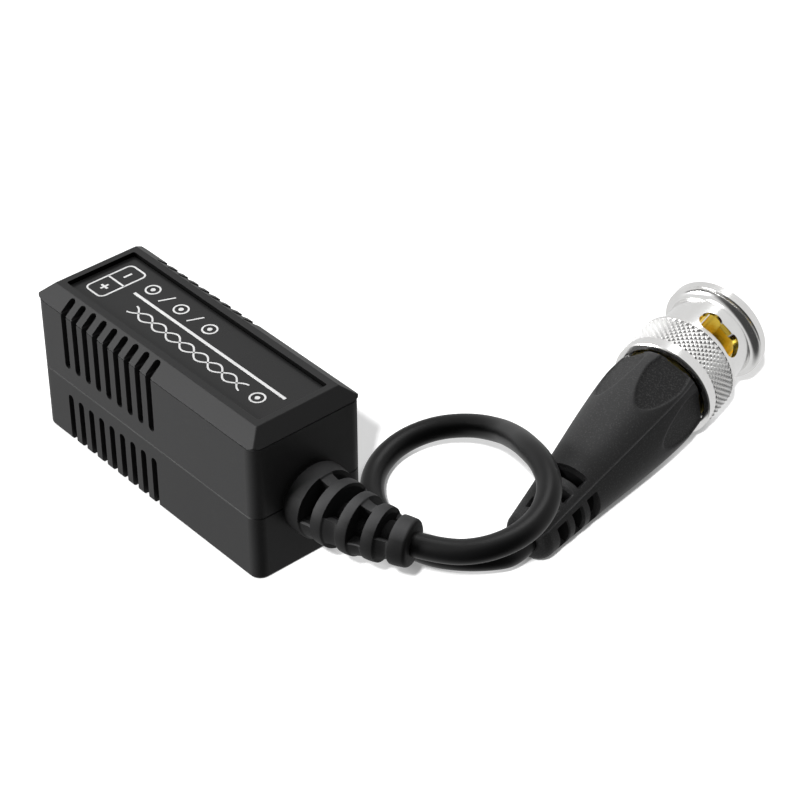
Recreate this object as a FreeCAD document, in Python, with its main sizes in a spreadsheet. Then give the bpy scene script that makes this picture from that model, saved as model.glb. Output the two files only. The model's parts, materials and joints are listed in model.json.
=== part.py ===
import FreeCAD, Part
import math
import os

import Sketcher
from FreeCAD import Placement, Rotation, Vector

# Passive video balun: a ribbed housing with a press terminal at one end, and at the other
# a short looped coax lead that ends in a bayonet plug.
# Millimetres and degrees, +Z up. The origin is the bottom centre of the housing,
# +X runs along it towards the lead, and the plus terminal is on the -Y side.

SIZES = {
    # Housing shells
    "body_length": 44.0,
    "body_width": 16.8,
    "body_height": 21.6,
    "corner_radius": 1.6,
    "foot_round": 0.5,
    "edge_round": 0.25,
    "parting_height": 9.3,
    "parting_bevel": 0.12,
    "side_wall": 1.6,
    "end_wall": 1.55,
    "floor_wall": 1.5,
    "roof_wall": 1.4,
    "cap_height": 1.8,
    "cap_side_inset": 2.15,
    "cap_end_inset": 1.8,
    "cap_corner_radius": 1.2,
    "crease_width": 0.25,
    "crease_depth": 0.12,
    "lip_height": 1.0,
    "lip_thickness": 0.6,
    "seat_gap": 0.05,
    # Grip slots along both long sides
    "slot_count": 9,
    "slot_first": 15.9,
    "slot_pitch": 2.2,
    "slot_width": 1.1,
    "slot_depth": 0.9,
    "slot_rise": 2.25,
    "slot_drop": 2.0,
    "slot_end_margin": 0.35,
    # Label recess and plate
    "recess_length": 38.6,
    "recess_width": 10.6,
    "recess_depth": 0.85,
    "recess_radius": 0.35,
    "label_thickness": 0.25,
    "label_gap": 0.1,
    # Press terminal
    "terminal_length": 10.0,
    "terminal_width": 11.2,
    "terminal_height": 15.0,
    "terminal_pitch": 5.0,
    "window_width": 9.6,
    "window_low": 3.0,
    "window_high": 15.2,
    "wire_level": 6.4,
    "wire_radius": 1.15,
    "wire_depth": 7.5,
    "wire_funnel": 0.4,
    "button_level": 11.9,
    "button_side": 3.5,
    "button_length": 5.3,
    "button_recess": 0.1,
    "button_gap": 0.2,
    "button_crown": 0.4,
    "shoulder_rise": 0.4,
    "shoulder_length": 1.5,
    "shoulder_gap": 0.1,
    "channel_lip": 1.0,
    "channel_depth": 9.0,
    "chamber_start": 3.55,
    "chamber_length": 2.8,
    "chamber_width": 2.2,
    "leaf_thickness": 0.3,
    "leaf_width": 1.8,
    "leaf_rise": 1.0,
    "leaf_gap": 0.15,
    "contact_thickness": 0.6,
    "contact_width": 1.2,
    "contact_foot": 0.6,
    "contact_level": 9.2,
    # Circuit board and what stands on it
    "board_gap": 0.15,
    "board_end_gap": 3.05,
    "board_width": 12.0,
    "board_level": 7.0,
    "board_thickness": 1.2,
    "post_side": 1.6,
    "post_inset": 1.2,
    "core_radius": 4.0,
    "core_section": 1.7,
    "winding_thickness": 0.35,
    "winding_angle": 140.0,
    "capacitor_gap": 1.0,
    "capacitor_offset": 2.6,
    "capacitor_length": 3.0,
    "capacitor_width": 2.6,
    "capacitor_height": 5.0,
    "arrester_gap": 0.6,
    "arrester_offset": 4.0,
    "arrester_radius": 1.5,
    "arrester_length": 4.6,
    "resistor_gap": 1.5,
    "resistor_offset": 3.5,
    "resistor_length": 3.2,
    "resistor_width": 1.6,
    "resistor_height": 0.6,
    "lead_spacing": 1.5,
    "lead_inset": 1.05,
    "signal_lead_radius": 0.45,
    "braid_lead_radius": 0.55,
    # Strain relief and cord
    "relief_level": 9.5,
    "relief_neck_radius": 4.0,
    "relief_flange_radius": 5.2,
    "relief_flange_thickness": 1.7,
    "relief_root_radius": 4.65,
    "relief_root_length": 3.1,
    "relief_core_radius": 1.95,
    "relief_straight": 2.0,
    "relief_bend": 32.0,
    "relief_turn": 25.0,
    "relief_edge_round": 0.15,
    "ring_1_start": 4.4,
    "ring_1_length": 1.75,
    "ring_1_radius": 4.3,
    "ring_2_start": 7.7,
    "ring_2_length": 1.45,
    "ring_2_radius": 3.9,
    "ring_3_start": 10.6,
    "ring_3_length": 1.7,
    "ring_3_radius": 3.45,
    "tip_start": 13.7,
    "tip_radius": 3.15,
    "web_thickness": 2.5,
    "web_tuck": 0.3,
    "web_sink": 0.18,
    "cord_radius": 1.55,
    "cord_seat_gap": 0.05,
    "cord_lead_out": 4.2,
    "cord_lead_in": 2.6,
    # Plug as a whole
    "plug_place_x": 31.6,
    "plug_place_y": 55.3,
    "plug_tilt": 6.5,
    "plug_heading": 103.7,
    "plug_floor_gap": 0.25,
    # Coupling nut, along the plug's axis from the knurl's front edge
    "nut_front": 7.95,
    "knurl_length": 5.0,
    "knurl_crest": 7.22,
    "knurl_root": 6.98,
    "knurl_land": 0.7,
    "knurl_land_radius": 7.08,
    "knurl_bevel": 0.25,
    "rim_radius": 7.05,
    "rim_length": 1.6,
    "rim_edge": 0.15,
    "waist_radius": 6.0,
    "flange_radius": 7.15,
    "flange_thickness": 1.45,
    "flange_fillet": 1.1,
    "flange_edge": 0.3,
    "nut_bore_radius": 4.95,
    "nut_shoulder": 1.9,
    "nut_cavity_radius": 5.5,
    "nut_rear_recess_radius": 6.25,
    "nut_rear_recess_depth": 0.75,
    "ring_groove_radius": 5.95,
    "ring_groove_start": 4.35,
    "ring_groove_length": 0.8,
    "nut_turn": 40.0,
    "lug_radius": 1.5,
    "lug_place": 2.0,
    "lug_level": 2.45,
    "ramp_radius": 1.38,
    "ramp_place": 1.8,
    "ramp_level": 2.4,
    "link_radius": 1.3,
    "link_end": 2.05,
    "link_level": 2.15,
    "entry_turn": 20.5,
    "entry_width": 2.2,
    "entry_radius": 5.5,
    # Plug's inner pieces
    "plug_rear": 7.0,
    "collar_radius": 5.8,
    "collar_thickness": 0.55,
    "stem_radius": 4.0,
    "seat_front": 2.0,
    "seat_thickness": 1.05,
    "insert_radius": 3.2,
    "insert_depth": 4.0,
    "insert_front": 0.5,
    "crimp_tail_radius": 2.4,
    "crimp_tail_length": 10.0,
    "braid_bore_radius": 1.7,
    "sleeve_radius": 4.05,
    "sleeve_wall": 0.6,
    "sleeve_front": 6.6,
    "sleeve_slot": 0.5,
    "sleeve_slot_length": 4.5,
    "pin_radius": 0.68,
    "pin_rear": 8.0,
    "pin_front": 5.6,
    "pin_point": 0.8,
    "gasket_wall": 0.6,
    "gasket_thickness": 1.0,
    "washer_bore_radius": 4.1,
    "washer_radius": 5.2,
    "washer_thickness": 0.4,
    "running_gap": 0.08,
    "thrust_gap": 0.05,
    "thrust_split": 3.0,
    "ferrule_radius": 2.95,
    "ferrule_length": 10.0,
    "ferrule_gap": 2.1,
    # Boot
    "boot_length": 31.5,
    "boot_front_radius": 6.45,
    "boot_swell_radius": 6.6,
    "boot_swell": 3.5,
    "boot_shoulder_radius": 6.05,
    "boot_shoulder": 10.0,
    "boot_waist_radius": 4.5,
    "boot_waist": 21.0,
    "boot_tail_radius": 3.3,
    "boot_tail_round": 1.2,
    "boot_turn": 24.0,
    "shield_count": 6,
    "shield_front_depth": 5.96,
    "shield_rear_depth": 6.05,
    "tail_window_first": 22.5,
    "tail_window_pitch": 2.9,
    "tail_window_width": 1.7,
    "tail_window_half_angle": 30.0,
    "tail_window_floor": 2.05,
    "tail_window_turn": -16.5,
    "tail_row_angle": 86.0,
}

# The loop that the lead makes between its first run, out of the relief, and its last,
# into the boot, chosen by hand
CORD_ROUTE = [
    (44.7, 8.0, 10.3),
    (46.1, 12.3, 11.1),
    (45.4, 16.4, 11.9),
    (43.0, 19.8, 12.7),
    (39.2, 22.0, 12.9),
    (34.6, 23.8, 11.8),
    (30.0, 26.2, 9.3),
    (25.3, 28.2, 6.7),
    (20.4, 27.7, 5.1),
    (16.5, 24.6, 3.9),
    (14.9, 19.9, 2.8),
    (16.1, 15.1, 1.9),
    (19.7, 11.4, 1.6),
    (24.6, 9.3, 1.65),
    (29.5, 8.0, 2.2),
    (34.2, 8.4, 2.9),
    (37.9, 10.2, 3.5),
    (40.3, 12.9, 3.6),
]

# How far a cutting shape reaches past the surface that it cuts
OVERCUT = 1.0
# An arc of the cord takes this share of the shorter of its two runs
BEND_SHARE = 0.45
# The numbers of a cylinder's two rim edges
NEAR_RIM = 2
FAR_RIM = 3

doc = FreeCAD.newDocument("VideoBalun")
sheet = doc.addObject("Spreadsheet::Sheet", "Sizes")
for row, (alias, number) in enumerate(SIZES.items(), start=1):
    sheet.set(f"A{row}", alias)
    sheet.set(f"B{row}", str(number))
    sheet.setAlias(f"B{row}", alias)
doc.recompute()


class Size:
    """A length or angle: its number, and the sheet expression that gives it."""

    def __init__(self, number, text):
        self.number = float(number)
        self.text = text

    def __add__(self, other):
        other = as_size(other)
        return Size(self.number + other.number, f"({self.text} + {other.text})")

    def __sub__(self, other):
        other = as_size(other)
        return Size(self.number - other.number, f"({self.text} - {other.text})")

    def __mul__(self, other):
        other = as_size(other)
        return Size(self.number * other.number, f"({self.text} * {other.text})")

    def __truediv__(self, other):
        other = as_size(other)
        return Size(self.number / other.number, f"({self.text} / {other.text})")

    def __neg__(self):
        return Size(-self.number, f"(0 - {self.text})")

    def __radd__(self, other):
        return as_size(other) + self

    def __rsub__(self, other):
        return as_size(other) - self


def as_size(value):
    """That value as a Size, with a plain number written into its expression."""
    if isinstance(value, Size):
        return value
    return Size(value, repr(float(value)))


def size(alias):
    """The named value of the sheet."""
    return Size(sheet.get(alias), f"Sizes.{alias}")


def drive(item, path, value):
    """Bind a property of an object to a value of the sheet."""
    item.setExpression(path, as_size(value).text)


# Sketches and the features that use them


def new_body(label, place=None):
    body = doc.addObject("PartDesign::Body", label)
    body.Label = label
    if place is not None:
        body.Placement = place
    return body


def new_sketch(body, name, role, lift=0.0, turned=None, shift=None):
    """Sketch on one of the body's own origin planes, lifted along the plane's normal."""
    sketch = body.newObject("Sketcher::SketchObject", name)
    plane = next(item for item in body.Origin.OriginFeatures if item.Role == role)
    sketch.AttachmentSupport = [(plane, "")]
    sketch.MapMode = "FlatFace"
    if turned is not None:
        sketch.AttachmentOffset = Placement(Vector(), turned)
    drive(sketch, "AttachmentOffset.Base.z", lift)
    if shift is not None:
        drive(sketch, "AttachmentOffset.Base.y", shift)
    return sketch


def pin_point(sketch, geometry, end, across, up):
    """Hold one end or centre of a line or curve at its distances from the origin."""
    for kind, value in (("DistanceX", across), ("DistanceY", up)):
        value = as_size(value)
        index = sketch.addConstraint(Sketcher.Constraint(kind, -1, 1, geometry, end, value.number))
        drive(sketch, f"Constraints[{index}]", value)


def add_loop(sketch, corners):
    """Closed loop of straight lines through corners, each an (across, up) pair."""
    first = sketch.GeometryCount
    points = [Vector(as_size(across).number, as_size(up).number, 0) for across, up in corners]
    count = len(points)
    for index, point in enumerate(points):
        sketch.addGeometry(Part.LineSegment(point, points[(index + 1) % count]), False)
    for index in range(count):
        following = first + (index + 1) % count
        sketch.addConstraint(Sketcher.Constraint("Coincident", first + index, 2, following, 1))
    for index, (across, up) in enumerate(corners):
        pin_point(sketch, first + index, 1, across, up)


def add_circle(sketch, across, up, radius):
    index = sketch.GeometryCount
    centre = Vector(as_size(across).number, as_size(up).number, 0)
    sketch.addGeometry(Part.Circle(centre, Vector(0, 0, 1), as_size(radius).number), False)
    hold_radius(sketch, index, radius)
    pin_point(sketch, index, 3, across, up)


def hold_radius(sketch, geometry, radius):
    radius = as_size(radius)
    index = sketch.addConstraint(Sketcher.Constraint("Radius", geometry, radius.number))
    drive(sketch, f"Constraints[{index}]", radius)


def add_arc(sketch, centre, radius, start, end):
    """Arc about a centre, from one angle to another, anticlockwise; returns its index."""
    circle = Part.Circle(Vector(*centre, 0), Vector(0, 0, 1), radius)
    return sketch.addGeometry(Part.ArcOfCircle(circle, math.radians(start), math.radians(end)), False)


def add_rounded_rectangle(sketch, half_across, half_up, radius):
    """Rectangle about the origin with rounded corners."""
    wide = as_size(half_across).number
    high = as_size(half_up).number
    bend = as_size(radius).number
    first = sketch.GeometryCount
    straight = [
        ((wide, bend - high), (wide, high - bend)),
        ((wide - bend, high), (bend - wide, high)),
        ((-wide, high - bend), (-wide, bend - high)),
        ((bend - wide, -high), (wide - bend, -high)),
    ]
    for start, end in straight:
        sketch.addGeometry(Part.LineSegment(Vector(*start, 0), Vector(*end, 0)), False)
    add_arc(sketch, (wide - bend, high - bend), bend, 0, 90)
    add_arc(sketch, (bend - wide, high - bend), bend, 90, 180)
    add_arc(sketch, (bend - wide, bend - high), bend, 180, 270)
    add_arc(sketch, (wide - bend, bend - high), bend, 270, 360)
    for side in range(4):
        arc = first + 4 + side
        following = first + (side + 1) % 4
        sketch.addConstraint(Sketcher.Constraint("Tangent", first + side, 2, arc, 1))
        sketch.addConstraint(Sketcher.Constraint("Tangent", arc, 2, following, 1))
        upright = "Vertical" if side % 2 == 0 else "Horizontal"
        sketch.addConstraint(Sketcher.Constraint(upright, first + side))
    for arc in range(first + 5, first + 8):
        sketch.addConstraint(Sketcher.Constraint("Equal", first + 4, arc))
    hold_radius(sketch, first + 4, radius)
    pin_point(sketch, first + 4, 3, half_across - radius, half_up - radius)
    pin_point(sketch, first + 6, 3, radius - half_across, radius - half_up)


def add_lozenge(sketch, low, high, radius):
    """Slot with two round ends, between two centres that lie level or one above the other."""
    low = [as_size(value) for value in low]
    high = [as_size(value) for value in high]
    bend = as_size(radius).number
    along = Vector(high[0].number - low[0].number, high[1].number - low[1].number, 0).normalize()
    side = Vector(-along.y, along.x, 0) * bend
    start = Vector(low[0].number, low[1].number, 0)
    end = Vector(high[0].number, high[1].number, 0)
    angle = math.degrees(math.atan2(along.y, along.x))
    first = sketch.GeometryCount
    sketch.addGeometry(Part.LineSegment(start - side, end - side), False)
    add_arc(sketch, (end.x, end.y), bend, angle - 90, angle + 90)
    sketch.addGeometry(Part.LineSegment(end + side, start + side), False)
    add_arc(sketch, (start.x, start.y), bend, angle + 90, angle + 270)
    for index in range(4):
        following = first + (index + 1) % 4
        sketch.addConstraint(Sketcher.Constraint("Tangent", first + index, 2, following, 1))
    hold_radius(sketch, first + 1, radius)
    pin_point(sketch, first + 1, 3, *high)
    pin_point(sketch, first + 3, 3, *low)


def pad(body, name, sketch, length, reverse=False, both_sides=False):
    feature = body.newObject("PartDesign::Pad", name)
    feature.Profile = sketch
    feature.Reversed = reverse
    feature.Midplane = both_sides
    drive(feature, "Length", length)
    doc.recompute()
    return feature


def pocket(body, name, sketch, depth, reverse=False, both_sides=False):
    """Cut a sketch into the body, against its normal unless reversed; it has to take material."""
    before = body.Shape.Volume
    feature = body.newObject("PartDesign::Pocket", name)
    feature.Profile = sketch
    feature.Reversed = reverse
    feature.Midplane = both_sides
    drive(feature, "Length", depth)
    doc.recompute()
    if body.Shape.Volume >= before:
        raise RuntimeError(f"{body.Label}: {name} takes no material")
    return feature


def revolve(body, name, corners):
    """Turn a closed outline of (radius, height) pairs about the body's Z axis."""
    sketch = new_sketch(body, f"{name}_outline", "XZ_Plane")
    add_loop(sketch, corners)
    feature = body.newObject("PartDesign::Revolution", name)
    feature.Profile = sketch
    feature.ReferenceAxis = (sketch, ["V_Axis"])
    feature.Angle = 360
    doc.recompute()
    return feature


def round_edges(body, name, radius, chosen, kind="Fillet"):
    """Round or bevel those edges of the body's tip that the test picks out."""
    base = body.Tip
    edges = [f"Edge{index}" for index, edge in enumerate(base.Shape.Edges, start=1) if chosen(edge)]
    if not edges:
        raise RuntimeError(f"{body.Label}: {name} finds no edge")
    feature = body.newObject(f"PartDesign::{kind}", name)
    feature.Base = (base, edges)
    drive(feature, "Radius" if kind == "Fillet" else "Size", radius)
    doc.recompute()
    return feature


def repeat_round(body, name, originals, count, angle=360):
    """Copies of features, evenly spaced over that angle about the body's Z axis."""
    axis = next(item for item in body.Origin.OriginFeatures if item.Role == "Z_Axis")
    feature = body.newObject("PartDesign::PolarPattern", name)
    feature.Originals = originals
    feature.Axis = (axis, [""])
    drive(feature, "Angle", angle)
    drive(feature, "Occurrences", count)
    body.Tip = feature
    doc.recompute()
    return feature


def repeat_along(body, name, originals, pitch, count):
    """Copies of features, in a row along the body's X axis."""
    axis = next(item for item in body.Origin.OriginFeatures if item.Role == "X_Axis")
    feature = body.newObject("PartDesign::LinearPattern", name)
    feature.Originals = originals
    feature.Direction = (axis, [""])
    drive(feature, "Length", pitch * (count - 1))
    drive(feature, "Occurrences", count)
    body.Tip = feature
    doc.recompute()
    return feature


# Part primitives and booleans


def primitive(kind, label, place=None, base=None, **sizes):
    """Part primitive whose sizes, and whose base point if given, follow the sheet."""
    item = doc.addObject(f"Part::{kind}", label)
    item.Label = label
    for name, value in sizes.items():
        drive(item, name, value)
    if place is not None:
        item.Placement = place
    for axis, value in zip("xyz", base or ()):
        drive(item, f"Placement.Base.{axis}", value)
    return item


def fused(label, pieces):
    item = doc.addObject("Part::MultiFuse", label)
    item.Label = label
    item.Shapes = pieces
    return item


def cut(label, base, tool):
    item = doc.addObject("Part::Cut", label)
    item.Label = label
    item.Base = base
    item.Tool = tool
    return item


def tube(label, points, radius):
    """Round tube along straight runs joined by tangent arcs; prints the arcs' radii."""
    edges = []
    radii = []
    start = points[0]
    for before, corner, after in zip(points, points[1:], points[2:]):
        arriving = corner - before
        leaving = after - corner
        half_turn = arriving.getAngle(leaving) / 2
        reach = BEND_SHARE * min(arriving.Length, leaving.Length)
        into = corner - arriving.normalize() * reach
        out = corner + leaving.normalize() * reach
        bend = reach / math.tan(half_turn)
        inward = (leaving - arriving).normalize()
        middle = corner + inward * (bend / math.cos(half_turn) - bend)
        edges.append(Part.LineSegment(start, into).toShape())
        edges.append(Part.Arc(into, middle, out).toShape())
        radii.append(bend)
        start = out
    edges.append(Part.LineSegment(start, points[-1]).toShape())
    path = Part.Wire(edges)
    heading = points[1] - points[0]
    section = Part.Wire(Part.makeCircle(radius, points[0], heading))
    item = doc.addObject("Part::Feature", label)
    item.Label = label
    item.Shape = path.makePipeShell([section], True, False)
    expected = math.pi * radius**2 * path.Length
    print(f"{label}: length {path.Length:.1f} mm, volume {item.Shape.Volume:.1f}, "
          f"section times length {expected:.1f}")
    print(f"{label}: arc radii {', '.join(f'{value:.1f}' for value in radii)}")
    return item


def lies_at(edge, axis, place):
    """Whether the whole edge lies in the plane square to an axis at that place."""
    box = edge.BoundBox
    low = getattr(box, f"{axis}Min")
    high = getattr(box, f"{axis}Max")
    return abs(low - place) < 0.02 and abs(high - place) < 0.02


# Places that several pieces share

half_length = size("body_length") / 2
half_width = size("body_width") / 2
parting = size("parting_height")
top = size("body_height")
crease = top - size("cap_height")
inner_half_length = half_length - size("end_wall")
inner_half_width = half_width - size("side_wall")
recess_floor = top - size("recess_depth")
cavity_top = recess_floor - size("roof_wall")
terminal_face = -inner_half_length
terminal_top = size("floor_wall") + size("terminal_height")
board_start = terminal_face + size("terminal_length") + size("board_gap")
board_end = inner_half_length - size("board_end_gap")
board_top = size("board_level") + size("board_thickness")
foot_start = board_start + size("post_inset")
foot_end = foot_start + size("contact_foot")
winding_reach = size("core_section") + size("winding_thickness")
core_middle = (board_start + board_end) / 2
core_end = core_middle + size("core_radius") + winding_reach
button_offset = size("terminal_pitch") / 2
slot_half_width = size("slot_width") / 2
bevel_slope = size("cap_side_inset").number / size("cap_height").number


def cut_window(body, low, high):
    """Opening in the end wall that shows the terminal's face."""
    sketch = new_sketch(body, "terminal_window_outline", "YZ_Plane", -half_length - OVERCUT)
    half = size("window_width") / 2
    add_loop(sketch, [(-half, low), (half, low), (half, high), (-half, high)])
    pocket(body, "terminal_window", sketch, size("end_wall") + 2 * OVERCUT, reverse=True)


def cut_relief_hole(body):
    """Round hole in the other end wall, split between the two shells."""
    sketch = new_sketch(body, "relief_hole_outline", "YZ_Plane", half_length + OVERCUT)
    add_circle(sketch, 0, size("relief_level"), size("relief_neck_radius") + size("seat_gap"))
    pocket(body, "relief_hole", sketch, size("end_wall") + 2 * OVERCUT)


def slot_sketch(body, name, side, low, high, round_low):
    """Upright slot outline over one long side, with one round end and one open end."""
    sketch = new_sketch(body, name, "XZ_Plane", (half_width + OVERCUT) * side)
    place = -size("slot_first")
    if round_low:
        add_lozenge(sketch, (place, low + slot_half_width), (place, high), slot_half_width)
    else:
        add_lozenge(sketch, (place, low), (place, high - slot_half_width), slot_half_width)
    return sketch


def is_parting_edge(edge):
    return lies_at(edge, "Z", parting.number)


def is_cap_edge(edge):
    """Whether an edge bounds the cap's flat top, or runs down a corner between two bevels."""
    if edge.BoundBox.ZMax < top.number - 0.01:
        return False
    return isinstance(edge.Curve, Part.Line)


def make_upper_shell():
    body = new_body("upper_shell")
    outline = new_sketch(body, "outline", "XY_Plane", parting)
    add_rounded_rectangle(outline, half_length, half_width, size("corner_radius"))
    pad(body, "block", outline, crease - parting)
    round_edges(body, "parting_bevel", size("parting_bevel"), is_parting_edge, "Chamfer")
    cap = new_sketch(body, "cap_outline", "XY_Plane", crease)
    add_rounded_rectangle(cap, half_length, half_width, size("cap_corner_radius"))
    pad(body, "cap", cap, size("cap_height"))

    side_bevel = new_sketch(body, "side_bevel_outline", "YZ_Plane")
    for side in (1, -1):
        outer = (half_width + OVERCUT) * side
        inner = (half_width - size("cap_side_inset")) * side
        corners = [(half_width * side, crease), (outer, crease), (outer, top + OVERCUT),
                   (inner, top + OVERCUT), (inner, top)]
        add_loop(side_bevel, corners)
    pocket(body, "side_bevel", side_bevel, size("body_length") + 2 * OVERCUT, both_sides=True)

    end_bevel = new_sketch(body, "end_bevel_outline", "XZ_Plane")
    for side in (1, -1):
        outer = (half_length + OVERCUT) * side
        inner = (half_length - size("cap_end_inset")) * side
        corners = [(half_length * side, crease), (outer, crease), (outer, top + OVERCUT),
                   (inner, top + OVERCUT), (inner, top)]
        add_loop(end_bevel, corners)
    pocket(body, "end_bevel", end_bevel, size("body_width") + 2 * OVERCUT, both_sides=True)
    round_edges(body, "cap_edges", size("edge_round"), is_cap_edge)

    groove = new_sketch(body, "crease_groove_outline", "XY_Plane", crease - size("crease_width") / 2)
    add_rounded_rectangle(groove, half_length + OVERCUT, half_width + OVERCUT, size("corner_radius"))
    depth = size("crease_depth")
    add_rounded_rectangle(groove, half_length - depth, half_width - depth, size("corner_radius") - depth)
    pocket(body, "crease_groove", groove, size("crease_width"), both_sides=True)

    recess = new_sketch(body, "recess_outline", "XY_Plane", top)
    add_rounded_rectangle(recess, size("recess_length") / 2, size("recess_width") / 2, size("recess_radius"))
    pocket(body, "label_recess", recess, size("recess_depth"))

    hollow = new_sketch(body, "hollow_outline", "XY_Plane", parting)
    add_rounded_rectangle(hollow, inner_half_length, inner_half_width, size("recess_radius"))
    pocket(body, "hollow", hollow, cavity_top - parting, reverse=True)

    rebate = new_sketch(body, "rebate_outline", "XY_Plane", parting)
    lap = size("lip_thickness") + size("seat_gap")
    add_rounded_rectangle(rebate, inner_half_length + lap, inner_half_width + lap, size("recess_radius"))
    pocket(body, "rebate", rebate, size("lip_height") + size("seat_gap"), reverse=True)

    cut_window(body, parting - OVERCUT, size("window_high"))
    cut_relief_hole(body)

    cuts = []
    bevel_length = math.hypot(size("cap_side_inset").number, size("cap_height").number)
    tilt = math.degrees(math.atan(bevel_slope))
    for side in (1, -1):
        word = "plus" if side > 0 else "minus"
        upright = slot_sketch(body, f"slot_{word}_outline", side, parting + size("slot_rise"), crease, True)
        depth = size("slot_depth") + OVERCUT
        cuts.append(pocket(body, f"slot_{word}", upright, depth, reverse=side < 0))
        lean = Rotation(Vector(-1, 0, 0), tilt * side)
        slant = new_sketch(body, f"bevel_slot_{word}_outline", "XZ_Plane", half_width * side, lean, crease)
        reach = bevel_length - size("slot_end_margin") - slot_half_width
        add_lozenge(slant, (-size("slot_first"), 0), (-size("slot_first"), reach), slot_half_width)
        cuts.append(pocket(body, f"bevel_slot_{word}", slant, size("slot_depth"), reverse=side < 0))
    repeat_along(body, "slots", cuts, size("slot_pitch"), size("slot_count"))
    return body


def make_lower_shell():
    body = new_body("lower_shell")
    outline = new_sketch(body, "outline", "XY_Plane")
    add_rounded_rectangle(outline, half_length, half_width, size("corner_radius"))
    pad(body, "block", outline, parting)
    round_edges(body, "foot", size("foot_round"), lambda edge: lies_at(edge, "Z", 0.0))
    round_edges(body, "parting_bevel", size("parting_bevel"), is_parting_edge, "Chamfer")

    hollow = new_sketch(body, "hollow_outline", "XY_Plane", parting)
    add_rounded_rectangle(hollow, inner_half_length, inner_half_width, size("recess_radius"))
    pocket(body, "hollow", hollow, parting - size("floor_wall"))

    lip = new_sketch(body, "lip_outline", "XY_Plane", parting)
    lap = size("lip_thickness")
    add_rounded_rectangle(lip, inner_half_length + lap, inner_half_width + lap, size("recess_radius"))
    add_rounded_rectangle(lip, inner_half_length, inner_half_width, size("recess_radius"))
    pad(body, "lip", lip, size("lip_height"))

    posts = new_sketch(body, "post_outlines", "XY_Plane", size("floor_wall"))
    near = board_start + size("post_inset")
    far = board_end - size("post_inset") - size("post_side")
    for left in (near, far):
        right = left + size("post_side")
        for side in (1, -1):
            wall = (inner_half_width + size("seat_gap")) * side
            edge = (inner_half_width - size("post_side")) * side
            add_loop(posts, [(left, edge), (right, edge), (right, wall), (left, wall)])
    pad(body, "board_posts", posts, size("board_level") - size("floor_wall"))

    cut_window(body, size("window_low"), parting + size("lip_height") + OVERCUT)
    cut_relief_hole(body)

    cuts = []
    for side in (1, -1):
        word = "plus" if side > 0 else "minus"
        sketch = slot_sketch(body, f"slot_{word}_outline", side, -OVERCUT, parting - size("slot_drop"), False)
        cuts.append(pocket(body, f"slot_{word}", sketch, size("slot_depth") + OVERCUT, reverse=side < 0))
    repeat_along(body, "slots", cuts, size("slot_pitch"), size("slot_count"))
    return body


def make_label_plate():
    body = new_body("label_plate")
    outline = new_sketch(body, "outline", "XY_Plane", recess_floor)
    gap = size("label_gap")
    half_long = size("recess_length") / 2 - gap
    half_wide = size("recess_width") / 2 - gap
    add_rounded_rectangle(outline, half_long, half_wide, size("recess_radius") - gap)
    pad(body, "plate", outline, size("label_thickness"))
    return body


def make_terminal_block():
    body = new_body("terminal_block")
    outline = new_sketch(body, "outline", "YZ_Plane", terminal_face)
    half = size("terminal_width") / 2
    low = size("floor_wall")
    add_loop(outline, [(-half, low), (half, low), (half, terminal_top), (-half, terminal_top)])
    pad(body, "block", outline, size("terminal_length"))

    mouth = size("button_side") / 2 + size("button_gap")
    inner = mouth + size("shoulder_rise")
    fronts = new_sketch(body, "button_mouths", "YZ_Plane", terminal_face)
    channels = new_sketch(body, "button_channels", "YZ_Plane", terminal_face + size("channel_lip"))
    chambers = new_sketch(body, "spring_chambers", "YZ_Plane", terminal_face + size("chamber_start"))
    tails = new_sketch(body, "contact_passages", "YZ_Plane",
                       terminal_face + size("chamber_start") + size("chamber_length"))
    wires = new_sketch(body, "wire_bores", "YZ_Plane", terminal_face)
    level = size("button_level")
    for side in (1, -1):
        middle = button_offset * side
        add_square(fronts, middle, level, mouth)
        add_square(channels, middle, level, inner)
        half_chamber = size("chamber_width") / 2
        add_box(chambers, middle - half_chamber, middle + half_chamber, size("wire_level"), level)
        half_tail = size("contact_width") / 2 + size("seat_gap")
        tail_low = size("contact_level") - size("contact_thickness") - size("seat_gap")
        tail_high = size("contact_level") + size("seat_gap")
        add_box(tails, middle - half_tail, middle + half_tail, tail_low, tail_high)
        add_circle(wires, middle, size("wire_level"), size("wire_radius"))
    pocket(body, "button_mouth", fronts, size("channel_depth"), reverse=True)
    pocket(body, "button_channel", channels, size("channel_depth") - size("channel_lip"), reverse=True)
    pocket(body, "wire_bore", wires, size("wire_depth"), reverse=True)
    pocket(body, "spring_chamber", chambers, size("chamber_length"), reverse=True)
    pocket(body, "contact_passage", tails, size("terminal_length"), reverse=True)
    round_edges(body, "wire_funnel", size("wire_funnel"), is_wire_mouth, "Chamfer")
    return body


def add_box(sketch, left, right, low, high):
    add_loop(sketch, [(left, low), (right, low), (right, high), (left, high)])


def add_square(sketch, across, up, half):
    add_box(sketch, across - half, across + half, up - half, up + half)


def is_wire_mouth(edge):
    return lies_at(edge, "X", terminal_face.number) and isinstance(edge.Curve, Part.Circle)


def make_push_button(word, side):
    """Square plunger with a shoulder that the block's mouth keeps in."""
    body = new_body(f"push_button_{word}")
    middle = button_offset * side
    level = size("button_level")
    front = -half_length + size("button_recess")
    half = size("button_side") / 2
    sketch = new_sketch(body, "plunger_outline", "YZ_Plane", front)
    add_square(sketch, middle, level, half)
    pad(body, "plunger", sketch, size("button_length"))
    round_edges(body, "crown", size("button_crown"), lambda edge: lies_at(edge, "X", front.number))
    place = terminal_face + size("channel_lip") + size("shoulder_gap")
    shoulder = new_sketch(body, "shoulder_outline", "YZ_Plane", place)
    add_square(shoulder, middle, level, half + size("shoulder_rise"))
    pad(body, "shoulder", shoulder, size("shoulder_length"))
    return body


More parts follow.
